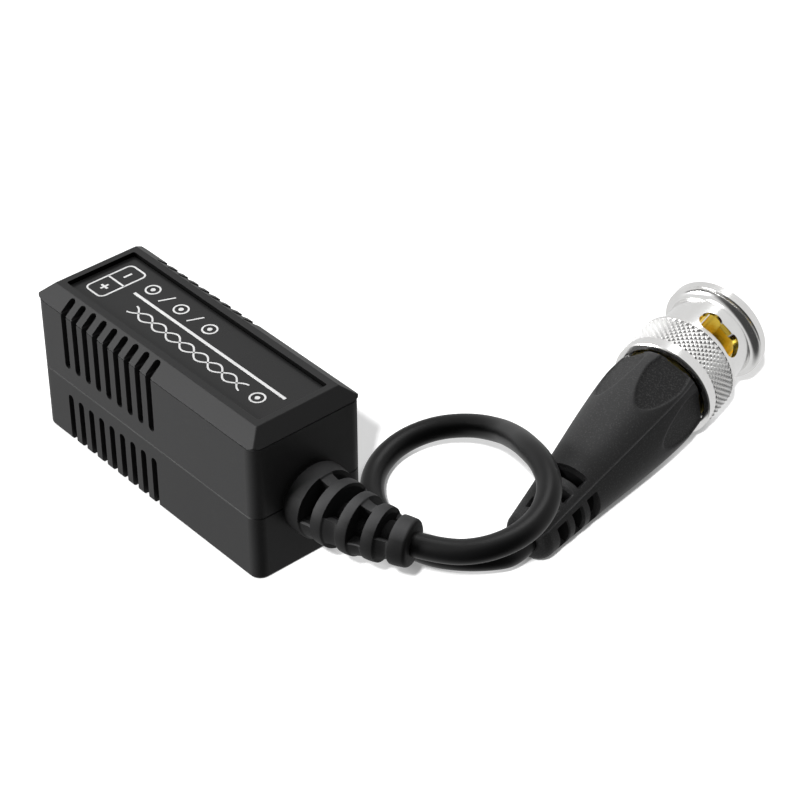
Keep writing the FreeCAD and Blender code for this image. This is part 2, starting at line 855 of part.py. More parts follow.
def make_clamp_spring(word, side):
    """Leaf behind the plunger that reaches down to the wire."""
    start = -half_length + size("button_recess") + size("button_length")
    low = size("wire_level") + size("wire_radius") + size("leaf_gap")
    base = (start, button_offset * side - size("leaf_width") / 2, low)
    height = size("button_level") + size("leaf_rise") - low
    return primitive("Box", f"clamp_spring_{word}", base=base, Length=size("leaf_thickness"),
                     Width=size("leaf_width"), Height=height)


def make_contact(word, side):
    """Strip at the chamber's back wall, whose tail runs out to a foot on the board."""
    body = new_body(f"contact_{word}")
    sketch = new_sketch(body, "strip_outline", "XZ_Plane", -button_offset * side)
    wall = terminal_face + size("chamber_start") + size("chamber_length")
    front = wall - size("leaf_thickness")
    low = size("wire_level") + size("wire_radius") + size("leaf_gap")
    high = size("contact_level")
    under = high - size("contact_thickness")
    add_loop(sketch, [(front, low), (wall, low), (wall, under), (foot_start, under),
                      (foot_start, board_top), (foot_end, board_top), (foot_end, high), (front, high)])
    pad(body, "strip", sketch, size("contact_width"), both_sides=True)
    return body


def make_circuit_board():
    base = (board_start, -size("board_width") / 2, size("board_level"))
    return primitive("Box", "circuit_board", base=base, Length=board_end - board_start,
                     Width=size("board_width"), Height=size("board_thickness"))


def make_transformer():
    """Ring core, and the two windings that wrap its halves."""
    centre = (core_middle, 0, board_top + winding_reach)
    core = primitive("Torus", "transformer_core", base=centre, Radius1=size("core_radius"),
                     Radius2=size("core_section"))
    half_gap = (180 - size("winding_angle").number) / 2
    windings = []
    for word, start in (("line", half_gap), ("coax", 180 + half_gap)):
        place = Placement(Vector(), Rotation(Vector(0, 0, 1), start))
        half = primitive("Torus", f"{word}_winding_form", place, centre, Radius1=size("core_radius"),
                         Radius2=winding_reach, Angle3=size("winding_angle"))
        former = primitive("Torus", f"{word}_winding_former", base=centre, Radius1=size("core_radius"),
                           Radius2=size("core_section"))
        windings.append(cut(f"{word}_winding", half, former))
    return [core] + windings


def make_board_parts():
    """Capacitor, gas tube and the two series resistors, which stand on the board."""
    capacitor = primitive("Box", "filter_capacitor",
                          base=(core_end + size("capacitor_gap"), size("capacitor_offset"), board_top),
                          Length=size("capacitor_length"), Width=size("capacitor_width"),
                          Height=size("capacitor_height"))
    along = Placement(Vector(), Rotation(Vector(0, 1, 0), 90))
    arrester = primitive("Cylinder", "surge_arrester", along,
                         (core_end + size("arrester_gap"), -size("arrester_offset"),
                          board_top + size("arrester_radius")),
                         Radius=size("arrester_radius"), Height=size("arrester_length"))
    pieces = [capacitor, arrester]
    for word, side in (("plus", -1), ("minus", 1)):
        middle = size("resistor_offset") * side
        base = (foot_end + size("resistor_gap"), middle - size("resistor_width") / 2, board_top)
        pieces.append(primitive("Box", f"series_resistor_{word}", base=base,
                                Length=size("resistor_length"), Width=size("resistor_width"),
                                Height=size("resistor_height")))
    return pieces


# Strain relief and what it holds

relief_straight = size("relief_straight")
relief_bend = size("relief_bend")
relief_turn = size("relief_turn")
relief_start = inner_half_length - size("relief_flange_thickness")
relief_reach = relief_straight.number + math.radians(relief_turn.number) * relief_bend.number


def relief_place(distance):
    """Where the relief's axis is, and which way it points, so far from the end wall."""
    along = distance - relief_straight.number
    turn = math.degrees(max(along, 0.0) / relief_bend.number)
    angle = math.radians(turn)
    straight = min(distance, relief_straight.number)
    x = half_length.number + straight + relief_bend.number * math.sin(angle)
    y = relief_bend.number * (1 - math.cos(angle))
    turned = Rotation(Vector(0, 0, 1), turn) * Rotation(Vector(0, 1, 0), 90)
    return Placement(Vector(x, y, size("relief_level").number), turned)


def relief_core(label, radius):
    """Round bar along the relief's axis: a straight stretch and a level bend."""
    sideways = Placement(Vector(), Rotation(Vector(0, 1, 0), 90))
    level = size("relief_level")
    reach = half_length + relief_straight - relief_start
    straight = primitive("Cylinder", f"{label}_straight", sideways, (relief_start, 0, level),
                         Radius=radius, Height=reach)
    about = Placement(Vector(), Rotation(Vector(0, 0, 1), -90))
    bend = primitive("Torus", f"{label}_bend", about, (half_length + relief_straight, relief_bend, level),
                     Radius1=relief_bend, Radius2=radius, Angle3=relief_turn)
    return fused(label, [straight, bend])


def relief_ring(name, distance, length, radius, edges):
    """Ring of the relief with rounded rims."""
    disc = primitive("Cylinder", f"{name}_disc", relief_place(distance), Radius=radius, Height=length)
    doc.recompute()
    ring = doc.addObject("Part::Fillet", name)
    ring.Base = disc
    rounding = size("relief_edge_round").number
    ring.Edges = [(edge, rounding, rounding) for edge in edges]
    return ring


def relief_web(name, start, end, radius, upright):
    """Web between two rings, standing up or lying level, with its outer faces round."""
    tuck = size("web_tuck").number
    thickness = size("web_thickness").number
    length = end - start + 2 * tuck
    place = relief_place(start - tuck)
    form = primitive("Cylinder", f"{name}_form", place, Radius=radius, Height=length)
    across, up = (thickness, 2 * radius + OVERCUT) if upright else (2 * radius + OVERCUT, thickness)
    corner = place.multiply(Placement(Vector(-up / 2, -across / 2, 0), Rotation()))
    slab = primitive("Box", f"{name}_slab", corner, Length=up, Width=across, Height=length)
    item = doc.addObject("Part::MultiCommon", name)
    item.Shapes = [form, slab]
    return item


def make_strain_relief():
    """Flange inside the wall, neck through it, and rings joined by crossed webs outside."""
    sideways = Placement(Vector(), Rotation(Vector(0, 1, 0), 90))
    level = size("relief_level")
    flange = primitive("Cylinder", "relief_flange", sideways, (relief_start, 0, level),
                       Radius=size("relief_flange_radius"), Height=size("relief_flange_thickness"))
    neck = primitive("Cylinder", "relief_neck", sideways, (inner_half_length, 0, level),
                     Radius=size("relief_neck_radius"), Height=size("end_wall"))
    pieces = [flange, neck, relief_core("relief_core_bar", size("relief_core_radius"))]
    # Each ring: how far it starts from the end wall, its length and its radius
    rings = [(0.0, size("relief_root_length").number, size("relief_root_radius").number)]
    for index in (1, 2, 3):
        rings.append(tuple(size(f"ring_{index}_{word}").number for word in ("start", "length", "radius")))
    tip_start = size("tip_start").number
    rings.append((tip_start, relief_reach - tip_start, size("tip_radius").number))
    for index, (distance, length, radius) in enumerate(rings):
        edges = (FAR_RIM,) if index == 0 else (NEAR_RIM, FAR_RIM)
        pieces.append(relief_ring(f"relief_ring_{index}", distance, length, radius, edges))
    for index, (near, far) in enumerate(zip(rings, rings[1:])):
        radius = min(near[2], far[2]) - size("web_sink").number
        pieces.append(relief_web(f"relief_web_{index}", near[0] + near[1], far[0], radius, index % 2 == 0))
    bore = relief_core("relief_bore", size("cord_radius") + size("cord_seat_gap"))
    return cut("strain_relief", fused("relief_form", pieces), bore)


def make_leads():
    """The two wires from the end of the cord's jacket down to the board."""
    pieces = []
    level = size("relief_level").number
    for word, side in (("signal", -1), ("braid", 1)):
        y = side * size("lead_spacing").number / 2
        start = Vector(relief_start.number, y, level)
        corner = Vector((board_end - size("lead_inset")).number, y, level)
        end = Vector(corner.x, y, board_top.number)
        pieces.append(tube(f"{word}_lead", [start, corner, end], size(f"{word}_lead_radius").number))
    return pieces


# The plug stands in a frame of its own: Z along its axis towards the mating face,
# X up, and zero at the front edge of the knurl.


def plug_placement():
    tilt = math.radians(size("plug_tilt").number)
    heading = math.radians(size("plug_heading").number)
    axis = Vector(math.cos(tilt) * math.cos(heading), math.cos(tilt) * math.sin(heading), math.sin(tilt))
    right = Vector(math.sin(heading), -math.cos(heading), 0)
    up = right.cross(axis)
    height = (size("knurl_crest").number * math.cos(tilt) + size("knurl_length").number * math.sin(tilt)
              + size("plug_floor_gap").number)
    base = Vector(size("plug_place_x").number, size("plug_place_y").number, height)
    return Placement(base, Rotation(up, right, axis, "ZXY"))


plug = plug_placement()
knurl_rear = -size("knurl_length")
nut_rear = knurl_rear - size("rim_length")
flange_rear = size("nut_front") - size("flange_thickness")
collar_rear = -size("plug_rear")
seat_front = -size("seat_front")
seat_rear = seat_front - size("seat_thickness")
seat_radius = size("nut_cavity_radius") - size("running_gap")
boot_rear = collar_rear - size("boot_length")
groove_front = -size("ring_groove_start")
groove_rear = groove_front - size("ring_groove_length")


def turned_plug(angle):
    """The plug's placement, turned about its own axis."""
    return plug.multiply(Placement(Vector(), Rotation(Vector(0, 0, 1), angle)))


def make_coupling_nut():
    """Turned nut: knurl band, waist and front flange outside; bore, shoulder and groove inside."""
    body = new_body("coupling_nut", turned_plug(size("nut_turn").number - 90))
    front = size("nut_front")
    edge = size("flange_edge")
    rim_edge = size("rim_edge")
    land = size("knurl_land_radius")
    bevel = size("knurl_bevel")
    waist = size("waist_radius")
    cavity = size("nut_cavity_radius")
    shoulder = -size("nut_shoulder")
    rear_recess = nut_rear + size("nut_rear_recess_depth")
    corners = [
        (size("rim_radius") - rim_edge, nut_rear),
        (size("rim_radius"), nut_rear + rim_edge),
        (size("rim_radius"), knurl_rear),
        (size("knurl_root"), knurl_rear),
        (size("knurl_root"), -size("knurl_land")),
        (land, -size("knurl_land")),
        (land, -bevel),
        (land - bevel, 0),
        (waist, 0),
        (waist, flange_rear),
        (size("flange_radius"), flange_rear),
        (size("flange_radius"), front - edge),
        (size("flange_radius") - edge, front),
        (size("nut_bore_radius"), front),
        (size("nut_bore_radius"), shoulder),
        (cavity, shoulder),
        (cavity, groove_front),
        (size("ring_groove_radius"), groove_front),
        (size("ring_groove_radius"), groove_rear),
        (cavity, groove_rear),
        (cavity, rear_recess),
        (size("nut_rear_recess_radius"), rear_recess),
        (size("nut_rear_recess_radius"), nut_rear),
    ]
    revolve(body, "turned_form", corners)
    round_edges(body, "flange_fillet", size("flange_fillet"),
                lambda edge: is_circle(edge, waist.number, flange_rear.number))

    lobes = new_sketch(body, "lobe_outlines", "XZ_Plane")
    add_circle(lobes, size("lug_place"), size("lug_level"), size("lug_radius"))
    add_circle(lobes, -size("ramp_place"), size("ramp_level"), size("ramp_radius"))
    reach = size("flange_radius") + OVERCUT
    lobe_cut = pocket(body, "lobes", lobes, reach)
    link = new_sketch(body, "link_outline", "XZ_Plane")
    level = size("link_level")
    add_lozenge(link, (-size("link_end"), level), (size("lug_place"), level), size("link_radius"))
    link_cut = pocket(body, "link", link, reach)
    turned = Rotation(Vector(0, 0, 1), -size("entry_turn").number)
    entry = new_sketch(body, "entry_outline", "XY_Plane", front, turned)
    half = size("entry_width") / 2
    add_box(entry, -half, half, size("nut_bore_radius") - OVERCUT, size("entry_radius"))
    entry_cut = pocket(body, "entry", entry, front - size("lug_level"))
    repeat_round(body, "bayonet", [lobe_cut, link_cut, entry_cut], 2)
    return body


def make_plug_body():
    """Turned body: rear collar, stem, seat for the nut and the crimp tail."""
    body = new_body("plug_body", plug)
    collar_front = collar_rear + size("collar_thickness")
    tail_rear = collar_rear - size("crimp_tail_length")
    insert = size("insert_radius") + size("seat_gap")
    insert_rear = seat_front - size("insert_depth")
    corners = [
        (size("braid_bore_radius"), tail_rear),
        (size("crimp_tail_radius"), tail_rear),
        (size("crimp_tail_radius"), collar_rear),
        (size("collar_radius"), collar_rear),
        (size("collar_radius"), collar_front),
        (size("stem_radius"), collar_front),
        (size("stem_radius"), seat_rear),
        (seat_radius, seat_rear),
        (seat_radius, seat_front),
        (insert, seat_front),
        (insert, insert_rear),
        (size("braid_bore_radius"), insert_rear),
    ]
    revolve(body, "turned_form", corners)
    return body


def ring_body(label, inner, outer, rear, front, place=None):
    """Plain turned ring or tube on the plug's axis."""
    body = new_body(label, place or plug)
    revolve(body, "turned_form", [(inner, rear), (outer, rear), (outer, front), (inner, front)])
    return body


def make_outer_contact():
    """Sleeve round the pin, slotted from its front into springy fingers."""
    front = size("sleeve_front")
    outer = size("sleeve_radius")
    body = ring_body("outer_contact", outer - size("sleeve_wall"), outer, seat_front, front)
    slit = new_sketch(body, "slit_outline", "XY_Plane", front)
    half = size("sleeve_slot") / 2
    reach = outer + OVERCUT
    add_box(slit, -reach, reach, -half, half)
    first = pocket(body, "slit", slit, size("sleeve_slot_length"))
    repeat_round(body, "fingers", [first], 4)
    return body


def make_insulator():
    body = new_body("insulator", plug)
    rear = seat_front - size("insert_depth")
    bore = size("pin_radius") + size("seat_gap")
    outer = size("insert_radius")
    front = size("insert_front")
    revolve(body, "turned_form", [(bore, rear), (outer, rear), (outer, front), (bore, front)])
    return body


def make_centre_pin():
    body = new_body("centre_pin", plug)
    radius = size("pin_radius")
    rear = -size("pin_rear")
    front = size("pin_front")
    neck = front - size("pin_point")
    revolve(body, "turned_form", [(0, rear), (radius, rear), (radius, neck), (radius / 2, front), (0, front)])
    return body


def make_thrust_ring():
    """Split ring in the nut's groove, which carries the nut along the plug."""
    gap = size("thrust_gap")
    inner = size("stem_radius") + size("running_gap")
    outer = size("ring_groove_radius") - size("running_gap")
    body = ring_body("thrust_ring", inner, outer, groove_rear + gap, groove_front - gap)
    split = new_sketch(body, "split_outline", "XY_Plane", groove_front)
    half = size("thrust_split") / 2
    add_box(split, -half, half, 0, outer + OVERCUT)
    pocket(body, "split", split, size("ring_groove_length"))
    return body


def make_plug_rings():
    """Gasket, spring washer and crimp ferrule."""
    sleeve = size("sleeve_radius")
    inner = sleeve + size("seat_gap")
    gasket = ring_body("gasket", inner, inner + size("gasket_wall"), seat_front,
                       seat_front + size("gasket_thickness"))
    washer = ring_body("spring_washer", size("washer_bore_radius"), size("washer_radius"),
                       seat_rear - size("washer_thickness"), seat_rear)
    ferrule_front = collar_rear - size("ferrule_gap")
    tail = size("crimp_tail_radius") + size("seat_gap")
    ferrule = ring_body("crimp_ferrule", tail, size("ferrule_radius"),
                        ferrule_front - size("ferrule_length"), ferrule_front)
    return gasket, washer, ferrule


def make_plug_boot():
    """Long rubber boot: swelling front, straight taper, flat shields and windowed tail."""
    body = new_body("plug_boot", turned_plug(size("boot_turn").number))
    front_bore = size("ferrule_radius") + size("seat_gap")
    cord_bore = size("cord_radius") + size("cord_seat_gap")
    bore_end = collar_rear - size("ferrule_gap") - size("ferrule_length") - size("seat_gap")
    corners = [
        (front_bore, collar_rear),
        (size("boot_front_radius"), collar_rear),
        (size("boot_swell_radius"), collar_rear - size("boot_swell")),
        (size("boot_shoulder_radius"), collar_rear - size("boot_shoulder")),
        (size("boot_waist_radius"), collar_rear - size("boot_waist")),
        (size("boot_tail_radius"), boot_rear),
        (cord_bore, boot_rear),
        (cord_bore, bore_end),
        (front_bore, bore_end),
    ]
    revolve(body, "moulded_form", corners)
    tail_radius = size("boot_tail_radius").number
    round_edges(body, "tail_round", size("boot_tail_round"),
                lambda edge: is_circle(edge, tail_radius, boot_rear.number))

    shield = new_sketch(body, "shield_outline", "XZ_Plane")
    over = size("boot_swell_radius") + OVERCUT
    slope = (size("shield_rear_depth") - size("shield_front_depth")) / size("boot_shoulder")
    shield_front = size("shield_front_depth") - slope * OVERCUT
    shield_rear = size("shield_rear_depth") + slope * OVERCUT
    shield_end = collar_rear - size("boot_shoulder") - OVERCUT
    add_loop(shield, [(shield_front, collar_rear + OVERCUT), (over, collar_rear + OVERCUT),
                      (over, shield_end), (shield_rear, shield_end)])
    flat = pocket(body, "shield", shield, size("boot_swell_radius") * 2, both_sides=True)
    repeat_round(body, "shields", [flat], size("shield_count"))

    rows = []
    turned = Rotation(Vector(0, 0, 1), size("tail_window_turn").number)
    spread = math.tan(math.radians(size("tail_window_half_angle").number))
    floor = size("tail_window_floor")
    for index in range(3):
        level = collar_rear - size("tail_window_first") - size("tail_window_pitch") * index
        level = level + size("tail_window_width") / 2
        sketch = new_sketch(body, f"tail_window_{index}_outline", "XY_Plane", level, turned)
        add_loop(sketch, [(floor, floor * -spread), (over, over * -spread),
                          (over, over * spread), (floor, floor * spread)])
        rows.append(pocket(body, f"tail_window_{index}", sketch, size("tail_window_width")))
    repeat_round(body, "tail_windows", rows, 2, size("tail_row_angle"))
    return body


def is_circle(edge, radius, level):
    """Whether an edge is the full circle of that radius at that level of its body."""
    curve = edge.Curve
    if not isinstance(curve, Part.Circle):
        return False
    return abs(curve.Radius - radius) < 0.01 and abs(curve.Center.z - level) < 0.01


def make_cord_in_boot():
    """The stretch of cord that the boot and the ferrule hold."""
    front = collar_rear - size("crimp_tail_length") - size("seat_gap")
    item = primitive("Cylinder", "cord_in_boot", Radius=size("cord_radius"), Height=front - boot_rear)
    item.Placement = plug.multiply(Placement(Vector(0, 0, boot_rear.number), Rotation()))
    return item


def make_cord():
    """The free cord, from the relief's tip round its loop to the boot's small end."""
    tip = relief_place(relief_reach)
    first = tip.multVec(Vector(0, 0, size("cord_lead_out").number))
    end = plug.multVec(Vector(0, 0, boot_rear.number))
    last = plug.multVec(Vector(0, 0, boot_rear.number - size("cord_lead_in").number))
    points = [tip.Base, first] + [Vector(*point) for point in CORD_ROUTE] + [last, end]
    print("cord: first and last runs", points[:2], points[-2:])
    return tube("cord", points, size("cord_radius").number)


parts = [make_upper_shell(), make_lower_shell(), make_label_plate(), make_terminal_block()]
for name, direction in (("plus", -1), ("minus", 1)):
    parts.append(make_push_button(name, direction))
    parts.append(make_clamp_spring(name, direction))
    parts.append(make_contact(name, direction))
parts.append(make_circuit_board())
parts.extend(make_transformer())
parts.extend(make_board_parts())
parts.append(make_strain_relief())
parts.extend(make_leads())
parts.append(relief_core("cord_in_relief", size("cord_radius")))
parts.append(make_cord())
parts.append(make_cord_in_boot())
parts.append(make_plug_boot())
parts.append(make_plug_body())
parts.append(make_coupling_nut())
parts.append(make_outer_contact())
parts.append(make_insulator())
parts.append(make_centre_pin())
parts.append(make_thrust_ring())
parts.extend(make_plug_rings())
doc.recompute()

for item in doc.Objects:
    if "Invalid" in item.State or "Error" in item.State:
        raise RuntimeError(f"{item.Label} failed: {item.State}")

os.makedirs("parts", exist_ok=True)
for part in parts:
    shape = part.Shape
    if shape.isNull() or not shape.isValid():
        raise RuntimeError(f"{part.Label} has no valid shape")
for part in parts:
    part.Shape.exportStep(f"parts/{part.Label}.step")
    print(f"{part.Label}: {len(part.Shape.Solids)} solid, {part.Shape.Volume:.1f} mm3")
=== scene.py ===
"""Looks of a passive video balun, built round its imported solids.

The housing shells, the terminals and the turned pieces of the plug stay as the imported
solids and get their finishes here. The moulded boot, the strain relief, the cord, the
knurl and the print on the label are made here, from the same sizes as the solids.
"""

import json
import logging
import math
from dataclasses import dataclass, field
from enum import Enum
from typing import Any, Callable, Sequence

import bmesh
import bpy
from mathutils import Matrix, Vector

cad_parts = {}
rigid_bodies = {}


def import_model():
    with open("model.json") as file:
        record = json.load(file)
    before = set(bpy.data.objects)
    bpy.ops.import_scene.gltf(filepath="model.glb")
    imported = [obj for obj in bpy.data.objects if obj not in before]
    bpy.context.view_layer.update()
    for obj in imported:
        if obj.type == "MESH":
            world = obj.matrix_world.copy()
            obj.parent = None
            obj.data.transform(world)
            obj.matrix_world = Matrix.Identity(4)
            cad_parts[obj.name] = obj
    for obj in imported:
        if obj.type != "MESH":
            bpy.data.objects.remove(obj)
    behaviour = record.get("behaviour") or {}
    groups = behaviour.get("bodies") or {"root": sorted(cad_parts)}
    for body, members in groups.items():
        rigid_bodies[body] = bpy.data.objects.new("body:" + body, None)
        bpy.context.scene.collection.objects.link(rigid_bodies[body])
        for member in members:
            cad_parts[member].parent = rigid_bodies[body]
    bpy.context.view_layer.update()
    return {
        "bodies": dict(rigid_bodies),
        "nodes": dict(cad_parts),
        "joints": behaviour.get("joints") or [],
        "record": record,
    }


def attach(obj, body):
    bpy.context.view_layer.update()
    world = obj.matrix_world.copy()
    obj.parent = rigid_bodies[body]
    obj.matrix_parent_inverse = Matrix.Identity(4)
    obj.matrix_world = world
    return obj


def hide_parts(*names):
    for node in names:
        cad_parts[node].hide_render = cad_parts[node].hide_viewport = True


LOG = logging.getLogger("video_balun")

MM = 0.001

# Half the width over which a moulded window's edge falls, along the axis and round it in degrees
WINDOW_EDGE = 0.06 * MM
WINDOW_BLUR = 1.2

Pair = tuple[float, float]
Triple = tuple[float, float, float]
Colour = tuple[float, float, float]


class Body(Enum):
    """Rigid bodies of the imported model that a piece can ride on."""

    ROOT = "root"
    NUT = "nut"


class Slot(Enum):
    """Material slots of the record."""

    HOUSING = "housing"
    LABEL = "label"
    TERMINAL = "terminal"
    BUTTON_PLUS = "button"
    BUTTON_MINUS = "button_minus"
    SPRING_STEEL = "spring_steel"
    CONTACT = "contact_metal"
    BOARD = "board"
    FERRITE = "ferrite"
    COPPER = "copper"
    COMPONENT = "component"
    COMPONENT_DARK = "component_dark"
    RELIEF = "relief"
    JACKET = "jacket"
    BOOT = "boot"
    NICKEL = "nickel"
    BRASS = "brass"
    GOLD = "gold"
    INSULATOR = "insulator"
    GASKET = "gasket"


def smooth_step(low: float, high: float, value: float) -> float:
    """Blend from 0 below low to 1 above high.

    Args:
        low: Where the blend starts.
        high: Where the blend ends.
        value: The place to read.

    Returns:
        A number from 0 to 1.
    """
    share = min(max((value - low) / (high - low), 0.0), 1.0)
    return share * share * (3.0 - 2.0 * share)


def smooth_min(first: float, second: float, blend: float) -> float:
    """Smaller of two numbers, with the corner between them rounded.

    Args:
        first: One number.
        second: The other number.
        blend: How wide the rounding is.

    Returns:
        A number at or a little under the smaller one.
    """
    share = max(blend - abs(first - second), 0.0) / blend
    return min(first, second) - share * share * blend * 0.25


def outline(*pairs: Pair) -> tuple[Pair, ...]:
    """Pairs in metres from pairs in millimetres."""
    return tuple((first * MM, second * MM) for first, second in pairs)


def rounded_end(distance: float, bend: float) -> float:
    """How much a radius loses near an end that is rounded over.

    Args:
        distance: How far the place is from the end.
        bend: Radius of the rounding.

    Returns:
        The loss, which is 0 away from the end.
    """
    lack = bend - distance
    return bend - math.sqrt(max(bend**2 - lack**2, 0.0)) if lack > 0.0 else 0.0


def profile_radius(profile: Sequence[Pair], place: float) -> float:
    """Radius of a smooth outline at a place along its axis.

    Args:
        profile: Pairs of place and radius, with the places rising.
        place: Where to read the outline.

    Returns:
        The radius there, on a curve through all the pairs.
    """
    if place <= profile[0][0]:
        return profile[0][1]
    if place >= profile[-1][0]:
        return profile[-1][1]
    index = next(i for i in range(len(profile) - 1) if place <= profile[i + 1][0])

    def slope(i: int) -> float:
        """Slope of the outline at one of its pairs."""
        low, high = max(i - 1, 0), min(i + 1, len(profile) - 1)
        return (profile[high][1] - profile[low][1]) / (profile[high][0] - profile[low][0])

    (x0, y0), (x1, y1) = profile[index], profile[index + 1]
    width = x1 - x0
    t = (place - x0) / width
    t2, t3 = t * t, t * t * t
    return (
        (2 * t3 - 3 * t2 + 1) * y0
        + (t3 - 2 * t2 + t) * width * slope(index)
        + (3 * t2 - 2 * t3) * y1
        + (t3 - t2) * width * slope(index + 1)
    )


def angle_between(first: float, second: float) -> float:
    """Signed difference of two angles in degrees, from -180 to 180."""
    return (first - second + 180.0) % 360.0 - 180.0


def new_object(name: str, mesh: bpy.types.Mesh) -> bpy.types.Object:
    """Put a mesh into the scene as an object at the origin.

    Args:
        name: The piece's name.
        mesh: Its mesh, with its place in its vertices.

    Returns:
        The new object.
    """
    obj = bpy.data.objects.new(name, mesh)
    bpy.context.scene.collection.objects.link(obj)
    return obj


def moulded_skin(
    name: str,
    run: Pair,
    step: float,
    around: int,
    station: Callable[[float], Matrix],
    radius_at: Callable[[float, float], float],
    finish_at: Callable[[float, float], int],
    sharp_angle: float,
    materials: Sequence[bpy.types.Material],
) -> bpy.types.Object:
    """Closed skin swept along an axis, whose radius and finish depend on place and angle.

    Args:
        name: The piece's name.
        run: Where the skin starts and ends on its axis, in metres.
        step: About how far apart its rings are.
        around: How many points each ring has.
        station: Gives the frame at a place on the axis, with Z along it.
        radius_at: Gives the radius at a place and an angle in degrees.
        finish_at: Gives the number of the material at a place and an angle.
        sharp_angle: Edges that turn by more than this, in degrees, stay sharp.
        materials: The materials, by number.

    Returns:
        The new object, with its normals outwards.
    """
    start, end = run
    count = round((end - start) / step)
    half_step = (end - start) / count / 2
    places = [start + (end - start) * index / count for index in range(count + 1)]
    work = bmesh.new()
    rings = []
    for place in places:
        frame = station(place)
        ring = []
        for number in range(around):
            degrees = 360.0 * number / around
            radius, angle = radius_at(place, degrees), math.radians(degrees)
            spot = Vector((radius * math.cos(angle), radius * math.sin(angle), 0.0))
            ring.append(work.verts.new(frame @ spot))
        rings.append(ring)
    for place, near, far in zip(places, rings, rings[1:]):
        for number in range(around):
            following = (number + 1) % around
            face = work.faces.new((near[number], near[following], far[following], far[number]))
            face.material_index = finish_at(place + half_step, 360.0 * (number + 0.5) / around)
    for place, ring in ((places[0], rings[0]), (places[-1], rings[-1])):
        centre = work.verts.new(station(place).translation)
        for number in range(around):
            work.faces.new((ring[number], ring[(number + 1) % around], centre))
    bmesh.ops.recalc_face_normals(work, faces=work.faces)
    work.normal_update()
    for face in work.faces:
        face.smooth = True
    for edge in work.edges:
        edge.smooth = edge.calc_face_angle(0.0) < math.radians(sharp_angle)
    mesh = bpy.data.meshes.new(name)
    work.to_mesh(mesh)
    work.free()
    for material in materials:
        mesh.materials.append(material)
    return new_object(name, mesh)


@dataclass(frozen=True)
class PlugAxis:
    """The plug's own frame: Z along its axis to the mating face, X up, zero at the nut's turning joint."""

    origin: Vector
    along: Vector

    @classmethod
    def from_joints(cls, joints: Sequence[dict[str, Any]]) -> "PlugAxis":
        """Take the frame from the joint that turns the coupling nut.

        Args:
            joints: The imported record's joints.

        Returns:
            The plug's frame.
        """
        turn = next(joint for joint in joints if joint["name"] == "nut_turn")
        return cls(Vector(turn["pos_m"]), Vector(turn["axis"]).normalized())

    def matrix(self) -> Matrix:
        """Matrix from the plug's own frame to the part's frame."""
        right = self.along.cross(Vector((0.0, 0.0, 1.0))).normalized()
        up = right.cross(self.along)
        turned = Matrix((up, right, self.along)).transposed()
        return Matrix.Translation(self.origin) @ turned.to_4x4()

    def point(self, distance: float) -> Vector:
        """Point on the axis, a distance in metres in front of the frame's zero."""
        return self.origin + self.along * distance

    def station(self, distance: float) -> Matrix:
        """Frame at a distance in metres along the axis."""
        return self.matrix() @ Matrix.Translation((0.0, 0.0, distance))


class Wiring:
    """Adds nodes to a shader or geometry tree and joins them."""

    def __init__(self, tree: bpy.types.NodeTree) -> None:
        """Start on an empty tree.

        Args:
            tree: The tree to fill.
        """
        self.tree = tree
        self.tree.nodes.clear()

    def feed(self, node: bpy.types.Node, inputs: dict[str | int, Any]) -> None:
        """Set or join some of a node's inputs.

        Args:
            node: The node.
            inputs: Plain values, or output sockets to join, by input name or number.
        """
        for key, value in inputs.items():
            if isinstance(value, bpy.types.NodeSocket):
                self.tree.links.new(value, node.inputs[key])
            else:
                node.inputs[key].default_value = value

    def add(self, kind: str, inputs: dict[str | int, Any] | None = None, **settings: Any) -> bpy.types.Node:
        """Add one node.

        Args:
            kind: The node's type name.
            inputs: Plain values, or output sockets to join, by input name or number.
            **settings: Properties of the node.

        Returns:
            The new node.
        """
        node = self.tree.nodes.new(kind)
        for name, value in settings.items():
            setattr(node, name, value)
        self.feed(node, inputs or {})
        return node

    def math(self, operation: str, first: Any, second: Any = 0.0, third: Any = 0.0) -> bpy.types.NodeSocket:
        """Add a Math node.

        Args:
            operation: The node's operation.
            first: Its first value or socket.
            second: Its second value or socket.
            third: Its third value or socket.

        Returns:
            The result's socket.
        """
        inputs = {0: first, 1: second, 2: third}
        return self.add("ShaderNodeMath", inputs, operation=operation).outputs[0]

    def ramp(
        self, value: Any, given: tuple[Any, Any] = (0.0, 1.0), wanted: Pair = (0.0, 1.0)
    ) -> bpy.types.NodeSocket:
        """Map one range of a value to another, held at both ends.

        Args:
            value: The value or socket.
            given: The range that it has, in values or sockets.
            wanted: The range that it gets.

        Returns:
            The result's socket.
        """
        inputs = {"Value": value, "From Min": given[0], "From Max": given[1]}
        inputs |= {"To Min": wanted[0], "To Max": wanted[1]}
        return self.add("ShaderNodeMapRange", inputs).outputs["Result"]

    def blend(self, share: Any, low: Any, high: Any) -> bpy.types.NodeSocket:
        """Mix two colours.

        Args:
            share: How much of the second colour there is.
            low: The first colour or its socket.
            high: The second colour or its socket.

        Returns:
            The mixed colour's socket.
        """
        inputs = {"Factor": share}
        for number, end in ((6, low), (7, high)):
            inputs[number] = end if isinstance(end, bpy.types.NodeSocket) else (*end, 1.0)
        return self.add("ShaderNodeMix", inputs, data_type="RGBA").outputs[2]

    def gain(self, colour: bpy.types.NodeSocket, factor: bpy.types.NodeSocket) -> bpy.types.NodeSocket:
        """Multiply a colour by a number.

        Args:
            colour: The colour's socket.
            factor: The number's socket.

        Returns:
            The new colour's socket.
        """
        return self.add("ShaderNodeVectorMath", {0: colour, "Scale": factor}, operation="SCALE").outputs[0]


RECESS_SIZES = ("Half Length", "Half Width", "Low", "High")


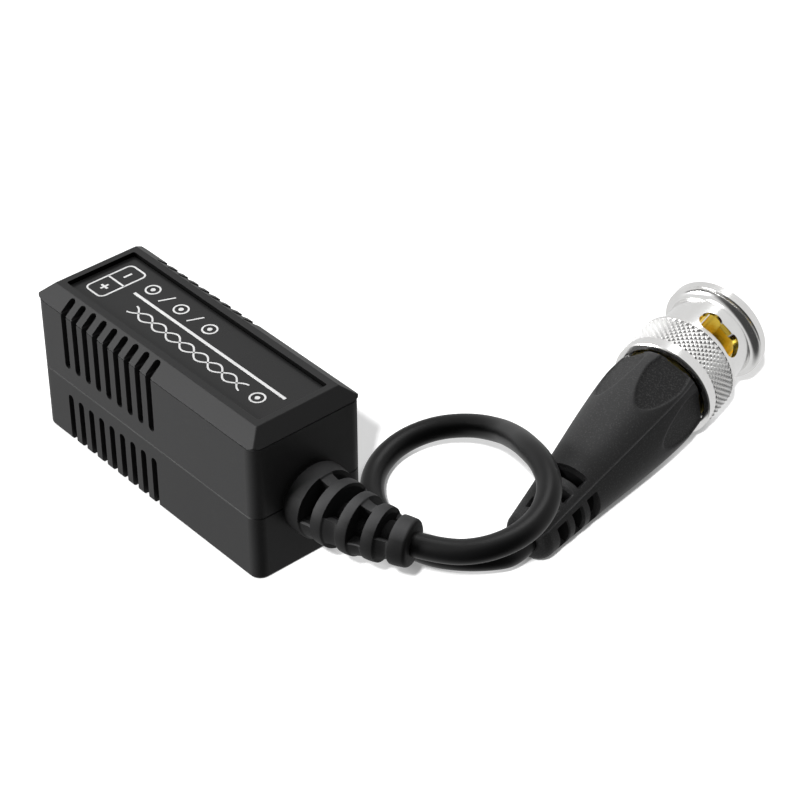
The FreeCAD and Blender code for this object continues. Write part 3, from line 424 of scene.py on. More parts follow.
class SurfaceGroups:
    """The node groups that the finishes share, each built once."""

    dot_scale = 1.7
    dot_share = 0.35
    speck_level = 0.72
    speck_reach = 0.3
    speck_edge = 0.12

    def __init__(self) -> None:
        """Build every group."""
        self.grain = self._grain()
        self.clouds = self._clouds()
        self.lathe = self._lathe()
        self.recess = self._recess()

    @staticmethod
    def _shell(name: str, inputs: dict[str, float], *outputs: str) -> tuple[Wiring, bpy.types.Node]:
        """Start a group with a vector input, float inputs and float outputs.

        Args:
            name: The group's name.
            inputs: Float inputs with their defaults.
            *outputs: The outputs' names.

        Returns:
            The group's wiring and its input node.
        """
        tree = bpy.data.node_groups.new(name, "ShaderNodeTree")
        tree.interface.new_socket(name="Vector", in_out="INPUT", socket_type="NodeSocketVector")
        for label, default in inputs.items():
            socket = tree.interface.new_socket(name=label, in_out="INPUT", socket_type="NodeSocketFloat")
            socket.default_value = default
        for label in outputs:
            tree.interface.new_socket(name=label, in_out="OUTPUT", socket_type="NodeSocketFloat")
        wiring = Wiring(tree)
        return wiring, wiring.add("NodeGroupInput")

    def _grain(self) -> bpy.types.NodeTree:
        """Fine moulded grain: a height, and a mask of its pale specks."""
        wiring, entry = self._shell("moulded_grain", {"Size": 0.0002, "Speck Share": 0.5}, "Height", "Specks")
        scale = wiring.math("DIVIDE", 1.0, entry.outputs["Size"])
        coarse = wiring.add(
            "ShaderNodeTexNoise",
            {"Vector": entry.outputs["Vector"], "Scale": scale, "Detail": 3.0, "Roughness": 0.6},
        )
        cells = wiring.add(
            "ShaderNodeTexVoronoi",
            {"Vector": entry.outputs["Vector"], "Scale": wiring.math("MULTIPLY", scale, self.dot_scale)},
            feature="F1",
        )
        dots = wiring.math("SUBTRACT", 1.0, cells.outputs["Distance"])
        fine = wiring.math("MULTIPLY", dots, self.dot_share)
        height = wiring.math("MULTIPLY_ADD", coarse.outputs["Fac"], 1.0 - self.dot_share, fine)
        drop = wiring.math("MULTIPLY", entry.outputs["Speck Share"], self.speck_reach)
        low = wiring.math("SUBTRACT", self.speck_level, drop)
        specks = wiring.ramp(coarse.outputs["Fac"], (low, wiring.math("ADD", low, self.speck_edge)))
        wiring.add("NodeGroupOutput", {"Height": height, "Specks": specks})
        return wiring.tree

    def _clouds(self) -> bpy.types.NodeTree:
        """Broad uneven patches, as handling and the mould leave them."""
        wiring, entry = self._shell("broad_patches", {"Size": 0.006, "Contrast": 1.0}, "Patches")
        noise = wiring.add(
            "ShaderNodeTexNoise",
            {
                "Vector": entry.outputs["Vector"],
                "Scale": wiring.math("DIVIDE", 1.0, entry.outputs["Size"]),
                "Detail": 4.0,
                "Roughness": 0.55,
                "Distortion": 0.4,
            },
        )
        centred = wiring.math("SUBTRACT", noise.outputs["Fac"], 0.5)
        spread = wiring.math("MULTIPLY", centred, entry.outputs["Contrast"])
        result = wiring.add("ShaderNodeClamp", {"Value": wiring.math("ADD", spread, 0.5)})
        wiring.add("NodeGroupOutput", {"Patches": result.outputs["Result"]})
        return wiring.tree

    def _lathe(self) -> bpy.types.NodeTree:
        """Fine rings round the Z axis of the given vector, as turning leaves them."""
        wiring, entry = self._shell("lathe_marks", {"Pitch": 0.0001}, "Rings")
        parts = wiring.add("ShaderNodeSeparateXYZ", {0: entry.outputs["Vector"]}).outputs
        across = wiring.math("MULTIPLY", parts["X"], parts["X"])
        reach = wiring.math("SQRT", wiring.math("MULTIPLY_ADD", parts["Y"], parts["Y"], across))
        flat = wiring.add("ShaderNodeCombineXYZ", {"X": reach, "Z": parts["Z"]})
        noise = wiring.add(
            "ShaderNodeTexNoise",
            {
                "Vector": flat.outputs[0],
                "Scale": wiring.math("DIVIDE", 1.0, entry.outputs["Pitch"]),
                "Detail": 2.0,
            },
        )
        wiring.add("NodeGroupOutput", {"Rings": noise.outputs["Fac"]})
        return wiring.tree

    def _recess(self) -> bpy.types.NodeTree:
        """Painted shade: a mask of an upright box about the Z axis, with which the label recess's walls are
        painted dark where their shade falls.
        """
        wiring, entry = self._shell("painted_recess_shade", dict(zip(RECESS_SIZES, (0.01, 0.01, 0.0, 0.01))), "Painted Shade")
        parts = wiring.add("ShaderNodeSeparateXYZ", {0: entry.outputs["Vector"]}).outputs
        inside: Any = 1.0
        tests = (
            ("LESS_THAN", wiring.math("ABSOLUTE", parts["X"])),
            ("LESS_THAN", wiring.math("ABSOLUTE", parts["Y"])),
            ("GREATER_THAN", parts["Z"]),
            ("LESS_THAN", parts["Z"]),
        )
        for limit, (operation, value) in zip(RECESS_SIZES, tests):
            test = wiring.math(operation, value, entry.outputs[limit])
            inside = wiring.math("MULTIPLY", inside, test)
        wiring.add("NodeGroupOutput", {"Painted Shade": inside})
        return wiring.tree


def start_material(
    name: str, colour: Colour
) -> tuple[bpy.types.Material, Wiring, bpy.types.Node, bpy.types.NodeSocket]:
    """Start a material with a Principled BSDF.

    Args:
        name: The material's name.
        colour: Its linear colour, also used in the viewport.

    Returns:
        The material, its wiring, its BSDF node and its object coordinates.
    """
    material = bpy.data.materials.new(name)
    material.use_nodes = True
    material.diffuse_color = (*colour, 1.0)
    wiring = Wiring(material.node_tree)
    bsdf = wiring.add("ShaderNodeBsdfPrincipled")
    wiring.add("ShaderNodeOutputMaterial", {"Surface": bsdf.outputs[0]})
    return material, wiring, bsdf, wiring.add("ShaderNodeTexCoord").outputs["Object"]


def add_patches(
    wiring: Wiring, groups: SurfaceGroups, place: bpy.types.NodeSocket, size: float, contrast: float = 1.0
) -> bpy.types.NodeSocket:
    """Put the broad patches into a material.

    Args:
        wiring: The material's wiring.
        groups: The shared node groups.
        place: Coordinates.
        size: How broad the patches are, in metres.
        contrast: How strong they are.

    Returns:
        The patches, from 0 to 1.
    """
    inputs = {"Vector": place, "Size": size, "Contrast": contrast}
    return wiring.add("ShaderNodeGroup", inputs, node_tree=groups.clouds).outputs["Patches"]


@dataclass(frozen=True)
class Finish:
    """What every finish of the part has: two colours and a roughness."""

    name: str
    colour: Colour
    second_colour: Colour
    roughness: float

    def _dress(
        self,
        wiring: Wiring,
        bsdf: bpy.types.Node,
        colour: bpy.types.NodeSocket,
        uneven: bpy.types.NodeSocket,
        spread: float,
        height: bpy.types.NodeSocket,
        depth: float,
    ) -> None:
        """Join colour, uneven roughness and fine relief to the BSDF.

        Args:
            wiring: The material's wiring.
            bsdf: The material's BSDF node.
            colour: The finished colour.
            uneven: What the roughness varies with, from 0 to 1.
            spread: How far the roughness varies to either side.
            height: The fine relief's height.
            depth: The relief's depth in metres.
        """
        rough = wiring.ramp(uneven, wanted=(self.roughness - spread, self.roughness + spread))
        bump = wiring.add("ShaderNodeBump", {"Height": height, "Distance": depth}).outputs["Normal"]
        wiring.feed(bsdf, {"Base Color": colour, "Roughness": rough, "Normal": bump})


@dataclass(frozen=True)
class PolymerFinish(Finish):
    """Moulded plastic or rubber: grain, specks of the second colour and broad patches, with a painted top
    light where one is set.

    Each of its bands is a low level, a high level and what the colour is multiplied by between them; some
    bands are painted shade or painted light. The box of painted recess shade has the sizes that RECESS_SIZES
    names. All sizes are in metres.
    """

    roughness_spread: float = 0.08
    grain_size: float = 0.00018
    grain_depth: float = 0.000006
    speck_share: float = 0.3
    patch_size: float = 0.007
    patch_shade: float = 0.85
    specular: float = 0.3
    painted_recess_shade_box: tuple[float, float, float, float] | None = None
    painted_recess_shade_share: float = 0.88
    bands: tuple[Triple, ...] = ()
    painted_top_light: float = 0.0
    painted_top_light_tilt: Pair = (0.6, 0.93)

    def _banded(
        self, wiring: Wiring, place: bpy.types.NodeSocket, colour: bpy.types.NodeSocket
    ) -> bpy.types.NodeSocket:
        """Multiply the colour in level bands, such as a painted shade line along a seam or a painted light in
        a groove.

        Args:
            wiring: The material's wiring.
            place: Object coordinates.
            colour: The colour so far.

        Returns:
            The colour with the bands in it.
        """
        height = wiring.add("ShaderNodeSeparateXYZ", {0: place}).outputs["Z"]
        for low, high, gain in self.bands:
            inside = wiring.math("COMPARE", height, (low + high) / 2, (high - low) / 2)
            colour = wiring.gain(colour, wiring.math("MULTIPLY_ADD", inside, gain - 1.0, 1.0))
        return colour

    def _painted_top_lit(self, wiring: Wiring, colour: bpy.types.NodeSocket) -> bpy.types.NodeSocket:
        """Painted top light: make the colour paler where the surface looks up, as light from above would fall
        on it.

        Args:
            wiring: The material's wiring.
            colour: The colour so far.

        Returns:
            The colour with the painted top light in it.
        """
        normal = wiring.add("ShaderNodeTexCoord").outputs["Normal"]
        share = wiring.ramp(wiring.add("ShaderNodeSeparateXYZ", {0: normal}).outputs["Z"], self.painted_top_light_tilt)
        return wiring.gain(colour, wiring.math("MULTIPLY_ADD", share, self.painted_top_light, 1.0))

    def build(self, groups: SurfaceGroups) -> bpy.types.Material:
        """Make the material.

        Args:
            groups: The shared node groups.

        Returns:
            The finished material.
        """
        material, wiring, bsdf, place = start_material(self.name, self.colour)
        patches = add_patches(wiring, groups, place, self.patch_size)
        inputs = {"Vector": place, "Size": self.grain_size, "Speck Share": self.speck_share}
        grain = wiring.add("ShaderNodeGroup", inputs, node_tree=groups.grain).outputs
        shade = tuple(part * self.patch_shade for part in self.colour)
        colour = wiring.blend(grain["Specks"], wiring.blend(patches, shade, self.colour), self.second_colour)
        sheen: Any = self.specular
        if self.bands:
            colour = self._banded(wiring, place, colour)
        if self.painted_top_light:
            colour = self._painted_top_lit(wiring, colour)
        # Painted shade: inside the box the colour goes towards black and the specular comes down, where the
        # label recess's walls lie in shade.
        if self.painted_recess_shade_box:
            inputs = {"Vector": place, **dict(zip(RECESS_SIZES, self.painted_recess_shade_box))}
            painted_shade = wiring.add("ShaderNodeGroup", inputs, node_tree=groups.recess).outputs["Painted Shade"]
            share = wiring.math("MULTIPLY", painted_shade, self.painted_recess_shade_share)
            colour = wiring.blend(share, colour, (0.0, 0.0, 0.0))
            sheen = wiring.math("MULTIPLY_ADD", share, -self.specular, self.specular)
        wiring.feed(bsdf, {"Specular IOR Level": sheen})
        self._dress(wiring, bsdf, colour, patches, self.roughness_spread, grain["Height"], self.grain_depth)
        return material


@dataclass(frozen=True)
class MetalFinish(Finish):
    """Plated or plain metal with fine rings, round the plug's axis where the metal is turned."""

    roughness_spread: float = 0.06
    patch_size: float = 0.003
    patch_contrast: float = 1.6
    ring_pitch: float = 0.00012
    ring_depth: float = 0.0000015
    turned: bool = True

    def build(self, groups: SurfaceGroups, axis: PlugAxis) -> bpy.types.Material:
        """Make the material.

        Args:
            groups: The shared node groups.
            axis: The plug's frame, which the rings go round.

        Returns:
            The finished material.
        """
        material, wiring, bsdf, place = start_material(self.name, self.colour)
        if self.turned:
            matrix = axis.matrix()
            place = wiring.add(
                "ShaderNodeMapping",
                {"Vector": place, "Location": matrix.translation, "Rotation": matrix.to_euler()},
                vector_type="TEXTURE",
            ).outputs[0]
        inputs = {"Vector": place, "Pitch": self.ring_pitch}
        rings = wiring.add("ShaderNodeGroup", inputs, node_tree=groups.lathe).outputs["Rings"]
        patches = add_patches(wiring, groups, place, self.patch_size, self.patch_contrast)
        tone = wiring.blend(patches, self.second_colour, self.colour)
        uneven = wiring.math("MULTIPLY_ADD", rings, 0.5, wiring.math("MULTIPLY", patches, 0.5))
        wiring.feed(bsdf, {"Metallic": 1.0})
        self._dress(wiring, bsdf, tone, uneven, self.roughness_spread, rings, self.ring_depth)
        return material


@dataclass(frozen=True)
class InkFinish(Finish):
    """Screen-print ink, slightly uneven and thin."""

    patch_size: float = 0.0009
    patch_contrast: float = 1.8

    def build(self, groups: SurfaceGroups) -> bpy.types.Material:
        """Make the material.

        Args:
            groups: The shared node groups.

        Returns:
            The finished material.
        """
        material, wiring, bsdf, place = start_material(self.name, self.colour)
        patches = add_patches(wiring, groups, place, self.patch_size, self.patch_contrast)
        tone = wiring.blend(patches, self.second_colour, self.colour)
        wiring.feed(bsdf, {"Base Color": tone, "Roughness": self.roughness})
        return material


POLYMERS = {
    Slot.HOUSING: PolymerFinish(
        "charcoal_shell",
        (0.021, 0.021, 0.0213),
        (0.03, 0.03, 0.0305),
        0.5,
        specular=0.16,
        # painted shade on the walls of the label recess
        painted_recess_shade_box=(0.01935, 0.00535, 0.0206, 0.02155),
        # darker below the parting line, a painted shade line along the parting line, and painted light in the
        # crease groove that makes its shade fainter
        bands=((-0.001, 0.00918, 0.82), (0.00918, 0.00942, 0.4), (0.01953, 0.01981, 2.2)),
    ),
    Slot.LABEL: PolymerFinish(
        "label_film",
        (0.0125, 0.0125, 0.0128),
        (0.018, 0.018, 0.0184),
        0.28,
        roughness_spread=0.04,
        grain_size=0.0001,
        grain_depth=0.000001,
        speck_share=0.2,
        patch_size=0.012,
        specular=0.25,
    ),
    Slot.TERMINAL: PolymerFinish("terminal_plastic", (0.012, 0.012, 0.0123), (0.02, 0.02, 0.021), 0.5),
    Slot.BUTTON_PLUS: PolymerFinish("red_plunger", (0.42, 0.025, 0.018), (0.5, 0.06, 0.05), 0.42),
    Slot.BUTTON_MINUS: PolymerFinish("black_plunger", (0.016, 0.016, 0.0165), (0.03, 0.03, 0.03), 0.42),
    Slot.BOARD: PolymerFinish("solder_mask", (0.012, 0.1, 0.035), (0.03, 0.16, 0.06), 0.3),
    Slot.FERRITE: PolymerFinish("ferrite_coat", (0.05, 0.05, 0.055), (0.09, 0.09, 0.095), 0.6),
    Slot.COMPONENT: PolymerFinish("component_coat", (0.45, 0.2, 0.04), (0.55, 0.3, 0.08), 0.38),
    Slot.COMPONENT_DARK: PolymerFinish("component_glaze", (0.03, 0.03, 0.033), (0.06, 0.06, 0.065), 0.35),
    Slot.RELIEF: PolymerFinish(
        "relief_rubber",
        (0.011, 0.011, 0.0112),
        (0.016, 0.016, 0.0162),
        0.55,
        grain_size=0.0002,
        grain_depth=0.000008,
        specular=0.12,
        # painted top light: the relief's up-facing surfaces are paler
        painted_top_light=4.5,
    ),
    Slot.JACKET: PolymerFinish(
        "cable_jacket",
        (0.005, 0.005, 0.0052),
        (0.007, 0.007, 0.0072),
        0.4,
        roughness_spread=0.05,
        grain_size=0.0003,
        grain_depth=0.000002,
        speck_share=0.15,
        specular=0.2,
    ),
    Slot.BOOT: PolymerFinish(
        "boot_rubber",
        (0.04, 0.04, 0.0405),
        (0.062, 0.062, 0.0626),
        0.55,
        roughness_spread=0.05,
        grain_size=0.0002,
        grain_depth=0.000014,
        speck_share=0.6,
        specular=0.16,
    ),
    Slot.INSULATOR: PolymerFinish("white_insulator", (0.82, 0.82, 0.79), (0.88, 0.88, 0.86), 0.35),
    Slot.GASKET: PolymerFinish("gasket_rubber", (0.3, 0.04, 0.03), (0.36, 0.07, 0.05), 0.45),
}

SHIELD_FINISH = PolymerFinish(
    "shield_texture",
    (0.022, 0.022, 0.0223),
    (0.056, 0.056, 0.0565),
    0.6,
    roughness_spread=0.05,
    grain_size=0.0002,
    grain_depth=0.00003,
    speck_share=0.7,
    specular=0.14,
)

# Painted shade: a dark finish for the faces inside moulded windows and in the groove at the relief's wall,
# where their shade falls.
PAINTED_PIT_SHADE_FINISH = PolymerFinish("painted_pit_shade", (0.016, 0.016, 0.0162), (0.022, 0.022, 0.0222), 0.7, specular=0.05)

INK_FINISH = InkFinish("white_ink", (0.84, 0.84, 0.84), (0.66, 0.66, 0.66), 0.5)

KNURL_FINISH = MetalFinish("knurled_nickel", (0.93, 0.927, 0.92), (0.86, 0.855, 0.845), 0.36, turned=False)

METALS = {
    Slot.NICKEL: MetalFinish("nickel_plate", (0.86, 0.857, 0.85), (0.78, 0.775, 0.765), 0.17),
    # brass in a dark tone, much darker than bright brass
    Slot.BRASS: MetalFinish("dark_brass", (0.3, 0.25, 0.08), (0.2, 0.16, 0.05), 0.35),
    Slot.GOLD: MetalFinish("gold_plate", (0.98, 0.74, 0.13), (0.88, 0.58, 0.06), 0.22),
    Slot.SPRING_STEEL: MetalFinish("spring_steel", (0.62, 0.61, 0.6), (0.5, 0.5, 0.49), 0.28, turned=False),
    Slot.CONTACT: MetalFinish("tinned_contact", (0.7, 0.68, 0.62), (0.58, 0.56, 0.5), 0.32, turned=False),
    Slot.COPPER: MetalFinish("enamelled_copper", (0.7, 0.27, 0.11), (0.52, 0.17, 0.06), 0.3, turned=False),
}


class Palette:
    """Every finish of the part, by material slot."""

    def __init__(self, axis: PlugAxis) -> None:
        """Build the materials.

        Args:
            axis: The plug's frame, for the rings on turned metal.
        """
        groups = SurfaceGroups()
        self.by_slot = {slot: finish.build(groups) for slot, finish in POLYMERS.items()}
        self.by_slot |= {slot: finish.build(groups, axis) for slot, finish in METALS.items()}
        self.shield = SHIELD_FINISH.build(groups)
        self.pit_shade = PAINTED_PIT_SHADE_FINISH.build(groups)
        self.knurl = KNURL_FINISH.build(groups, axis)
        self.ink = INK_FINISH.build(groups)

    def dress(self, obj: bpy.types.Object, slot: Slot) -> None:
        """Give a whole object one finish.

        Args:
            obj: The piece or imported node.
            slot: The slot whose finish it takes.
        """
        material = self.by_slot[slot]
        if not obj.material_slots:
            obj.data.materials.append(material)
        for entry in obj.material_slots:
            entry.material = material


class PackedPieces:
    """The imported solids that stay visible, dressed by the record's slots."""

    def __init__(self, frame: dict[str, Any]) -> None:
        """Read which slot each node has.
        """
        self.nodes: dict[str, bpy.types.Object] = frame["nodes"]
        self.slots = {entry["node"]: entry["material_slot"] for entry in frame["record"]["subparts"]}

    def dress(self, palette: Palette) -> None:
        """Give every node its finish.

        Args:
            palette: The part's finishes.
        """
        for name, obj in self.nodes.items():
            palette.dress(obj, Slot(self.slots[name]))
            LOG.info("packed node %s dressed as %s", name, self.slots[name])


@dataclass
class Flexible:
    """The strain relief at the housing and the free cord, which share one bent axis."""

    wall_face: float = 22.0 * MM
    level: float = 9.5 * MM
    straight: float = 2.0 * MM
    bend_radius: float = 32.0 * MM
    bend_degrees: float = 25.0
    cord_radius: float = 1.55 * MM
    core_radius: float = 1.95 * MM
    skin: tuple[Pair, ...] = outline(
        (0.0, 4.25), (0.5, 4.25), (0.75, 4.75), (3.0, 4.62),
        (3.25, 4.4), (4.4, 4.15), (4.65, 4.35), (6.0, 4.3),
        (6.25, 4.1), (7.6, 3.75), (7.85, 3.95), (9.1, 3.9),
        (9.35, 3.7), (10.55, 3.35), (10.8, 3.52), (12.2, 3.45),
        (12.45, 3.2), (13.6, 2.85), (13.85, 3.08), (15.96, 2.95),
    )
    tip_round: float = 0.5 * MM
    # the relief's groove at the wall takes the painted pit shade up to here
    foot_end: float = 0.6 * MM
    side_windows: tuple[Pair, ...] = outline((3.1, 4.55), (9.2, 10.75))
    side_angles: Pair = (13.0, 91.0)
    crown_windows: tuple[Pair, ...] = outline((6.1, 7.8), (12.3, 13.8))
    crown_angle: float = 62.0
    lead_out: float = 4.2 * MM
    lead_in: float = 2.6 * MM
    around: int = 216
    step: float = 0.075 * MM
    sharp_angle: float = 40.0
    spline_steps: int = 16
    bevel_steps: int = 10

    @property
    def reach(self) -> float:
        """Length of the relief's axis from the wall to its tip."""
        return self.straight + self.bend_radius * math.radians(self.bend_degrees)

    def station(self, distance: float) -> Matrix:
        """Frame on the relief's axis, with X down and Z along it.

        Args:
            distance: How far from the housing's end wall, in metres.

        Returns:
            The frame there.
        """
        turn = max(distance - self.straight, 0.0) / self.bend_radius
        x = self.wall_face + min(distance, self.straight) + self.bend_radius * math.sin(turn)
        y = self.bend_radius * (1.0 - math.cos(turn))
        turned = Matrix.Rotation(turn, 4, "Z") @ Matrix.Rotation(math.radians(90.0), 4, "Y")
        return Matrix.Translation((x, y, self.level)) @ turned

    @staticmethod
    def _within(place: float, windows: Sequence[Pair]) -> float:
        """How far into the nearest of some windows a place along the axis is, from 0 to 1."""
        depth = max(min(place - start, end - place) for start, end in windows)
        return smooth_step(-WINDOW_EDGE, WINDOW_EDGE, depth)

    def _window_share(self, place: float, degrees: float) -> float:
        """How far into a window a place is, from 0 outside to 1 inside.

        Args:
            place: Distance from the end wall along the axis.
            degrees: Angle from straight down.

        Returns:
            The share.
        """
        tilt = abs(angle_between(degrees, 180.0))
        start, end = self.side_angles
        side = smooth_step(-WINDOW_BLUR, WINDOW_BLUR, min(tilt - start, end - tilt))
        from_crown = max(self.crown_angle - tilt, tilt - (180.0 - self.crown_angle))
        crown = smooth_step(-WINDOW_BLUR, WINDOW_BLUR, from_crown)
        side *= self._within(place, self.side_windows)
        return max(side, crown * self._within(place, self.crown_windows))

    def radius_at(self, place: float, degrees: float) -> float:
        """Radius of the relief's skin.

        Args:
            place: Distance from the end wall along the axis.
            degrees: Angle from straight down.

        Returns:
            The radius in metres.
        """
        radius = profile_radius(self.skin, place) - rounded_end(self.reach - place, self.tip_round)
        return radius + (self.core_radius - radius) * self._window_share(place, degrees)

    def _finish_at(self, place: float, degrees: float) -> int:
        """Number of the material at a place: 0 plain, 1 painted pit shade in a window or in the groove at the
        wall.
        """
        return int(place < self.foot_end or self._window_share(place, degrees) > 0.5)

    def build_relief(self, palette: Palette) -> bpy.types.Object:
        """Make the moulded relief from the wall to its tip.

        Args:
            palette: The part's finishes.

        Returns:
            The new piece.
        """
        return moulded_skin(
            "relief_moulding",
            (0.0, self.reach),
            self.step,
            self.around,
            self.station,
            self.radius_at,
            self._finish_at,
            self.sharp_angle,
            (palette.by_slot[Slot.RELIEF], palette.pit_shade),
        )

    def build_cord(self, route: Sequence[Triple], axis: PlugAxis, boot_rear: float) -> bpy.types.Object:
        """Make the free cord as one smooth spline, in line with the relief and the boot at its ends.

        Args:
            route: The points between the first and the last run, in millimetres.
            axis: The plug's frame.
            boot_rear: Where the boot's small end is along the plug's axis.

        Returns:
            The new curve.
        """
        tip = self.station(self.reach)
        points = [tip.translation, tip @ Vector((0.0, 0.0, self.lead_out))]
        points += [Vector(point) * MM for point in route]
        points += [axis.point(boot_rear - self.lead_in), axis.point(boot_rear)]
        curve = bpy.data.curves.new("cord_run", "CURVE")
        curve.dimensions = "3D"
        curve.resolution_u = self.spline_steps
        curve.render_resolution_u = self.spline_steps
        curve.bevel_depth = self.cord_radius
        curve.bevel_resolution = self.bevel_steps
        curve.use_fill_caps = True
        spline = curve.splines.new("NURBS")
        spline.points.add(len(points) - 1)
        for target, point in zip(spline.points, points):
            target.co = (*point, 1.0)
        spline.order_u = 3
        spline.use_endpoint_u = True
        spline.use_smooth = True
        cord = bpy.data.objects.new("cord_run", curve)
        bpy.context.scene.collection.objects.link(cord)
        return cord


# The free cord's points between its two straight runs, in millimetres
CORD_ROUTE: tuple[Triple, ...] = (
    (44.7, 8.0, 10.3), (46.1, 12.3, 11.1), (45.4, 16.4, 11.9),
    (43.0, 19.8, 12.7), (39.2, 22.0, 12.9), (34.6, 23.8, 11.8),
    (30.0, 26.2, 9.3), (25.3, 28.2, 6.7), (20.4, 27.7, 5.1),
    (16.5, 24.6, 3.9), (14.9, 19.9, 2.8), (16.1, 15.1, 1.9),
    (19.7, 11.4, 1.6), (24.6, 9.3, 1.65), (29.5, 8.0, 2.2),
    (34.2, 8.4, 2.9), (37.9, 10.2, 3.5), (40.3, 12.9, 3.6),
)


@dataclass
class Boot:
    """Long rubber boot of the plug: shields at its front, seams, and windows in its tail."""

    front: float = -7.0 * MM
    rear: float = -38.5 * MM
    profile: tuple[Pair, ...] = outline(
        (-38.5, 3.3), (-37.0, 3.4), (-28.0, 4.5), (-17.0, 6.0), (-10.5, 6.6), (-7.0, 6.45)
    )
    tail_round: float = 1.2 * MM
    front_round: float = 0.25 * MM
    shield_count: int = 6
    shield_turn: float = 24.0
    shield_front_depth: float = 5.96 * MM
    shield_rear_depth: float = 6.05 * MM
    shield_rear: float = -17.0 * MM
    shield_sink: float = 0.14 * MM
    shield_blend: float = 0.08 * MM
    shield_edge: Pair = (0.02 * MM, 0.1 * MM)
    seam_turns: tuple[float, ...] = (52.0, 232.0)
    seam_height: float = 0.13 * MM
    seam_half_width: float = 0.15 * MM
    window_centres: tuple[float, ...] = (-29.5 * MM, -32.4 * MM, -35.3 * MM)
    window_half_length: float = 0.85 * MM
    window_turns: tuple[float, ...] = (7.5, 93.5)
    window_half_angle: float = 30.0
    window_floor: float = 2.15 * MM
    around: int = 312
    step: float = 0.12 * MM
    sharp_angle: float = 50.0

    def _body_radius(self, place: float) -> float:
        """Radius of the plain form with both its ends rounded."""
        radius = profile_radius(self.profile, place) - rounded_end(place - self.rear, self.tail_round)
        return radius - rounded_end(self.front - place, self.front_round)

    def _shield_radius(self, place: float, degrees: float) -> float:
        """Radius of the nearest flat shield's plane."""
        pitch = 360.0 / self.shield_count
        offset = angle_between(degrees, self.shield_turn) % pitch
        offset = min(offset, pitch - offset)
        share = (self.front - place) / (self.front - self.shield_rear)
        depth = self.shield_front_depth + (self.shield_rear_depth - self.shield_front_depth) * share
        return depth / math.cos(math.radians(offset))

    def _shield_share(self, place: float, degrees: float) -> float:
        """How far into a shield a place is, from 0 outside to 1 inside."""
        lack = self._body_radius(place) - self._shield_radius(place, degrees)
        return smooth_step(*self.shield_edge, lack)

    def _shielded(self, radius: float, place: float, degrees: float) -> float:
        """Radius after the flat shields are taken off the form."""
        cut = smooth_min(radius, self._shield_radius(place, degrees), self.shield_blend)
        return cut - self.shield_sink * self._shield_share(place, degrees)

    def _window_share(self, place: float, degrees: float) -> float:
        """How far into a tail window a place is, from 0 outside to 1 inside."""
        near = min(abs(place - centre) for centre in self.window_centres)
        half = self.window_half_length
        along = 1.0 - smooth_step(half - WINDOW_EDGE, half + WINDOW_EDGE, near)
        offset = min(abs(angle_between(degrees, turn)) for turn in self.window_turns)
        half = self.window_half_angle
        across = 1.0 - smooth_step(half - WINDOW_BLUR, half + WINDOW_BLUR, offset)
        return along * across

    def radius_at(self, place: float, degrees: float) -> float:
        """Radius of the boot's skin.

        Args:
            place: Place along the plug's axis.
            degrees: Angle from straight up towards the right of the plug.

        Returns:
            The radius in metres.
        """
        radius = self._shielded(self._body_radius(place), place, degrees)
        for turn in self.seam_turns:
            arc = abs(math.radians(angle_between(degrees, turn))) * radius
            radius += self.seam_height * (1.0 - smooth_step(0.0, self.seam_half_width, arc))
        share = self._window_share(place, degrees)
        return radius + (self.window_floor - radius) * share

    def _finish_at(self, place: float, degrees: float) -> int:
        """Number of the material at a place: 0 plain, 1 in a shield, 2 painted pit shade in a tail window."""
        if self._window_share(place, degrees) > 0.5:
            return 2
        if place < self.front - self.front_round and self._shield_share(place, degrees) > 0.5:
            return 1
        return 0

    def build(self, axis: PlugAxis, palette: Palette) -> bpy.types.Object:
        """Make the boot's skin.

        Args:
            axis: The plug's frame.
            palette: The part's finishes.

        Returns:
            The new piece.
        """
        return moulded_skin(
            "boot_moulding",
            (self.rear, self.front),
            self.step,
            self.around,
            axis.station,
            self.radius_at,
            self._finish_at,
            self.sharp_angle,
            (palette.by_slot[Slot.BOOT], palette.shield, palette.pit_shade),
        )


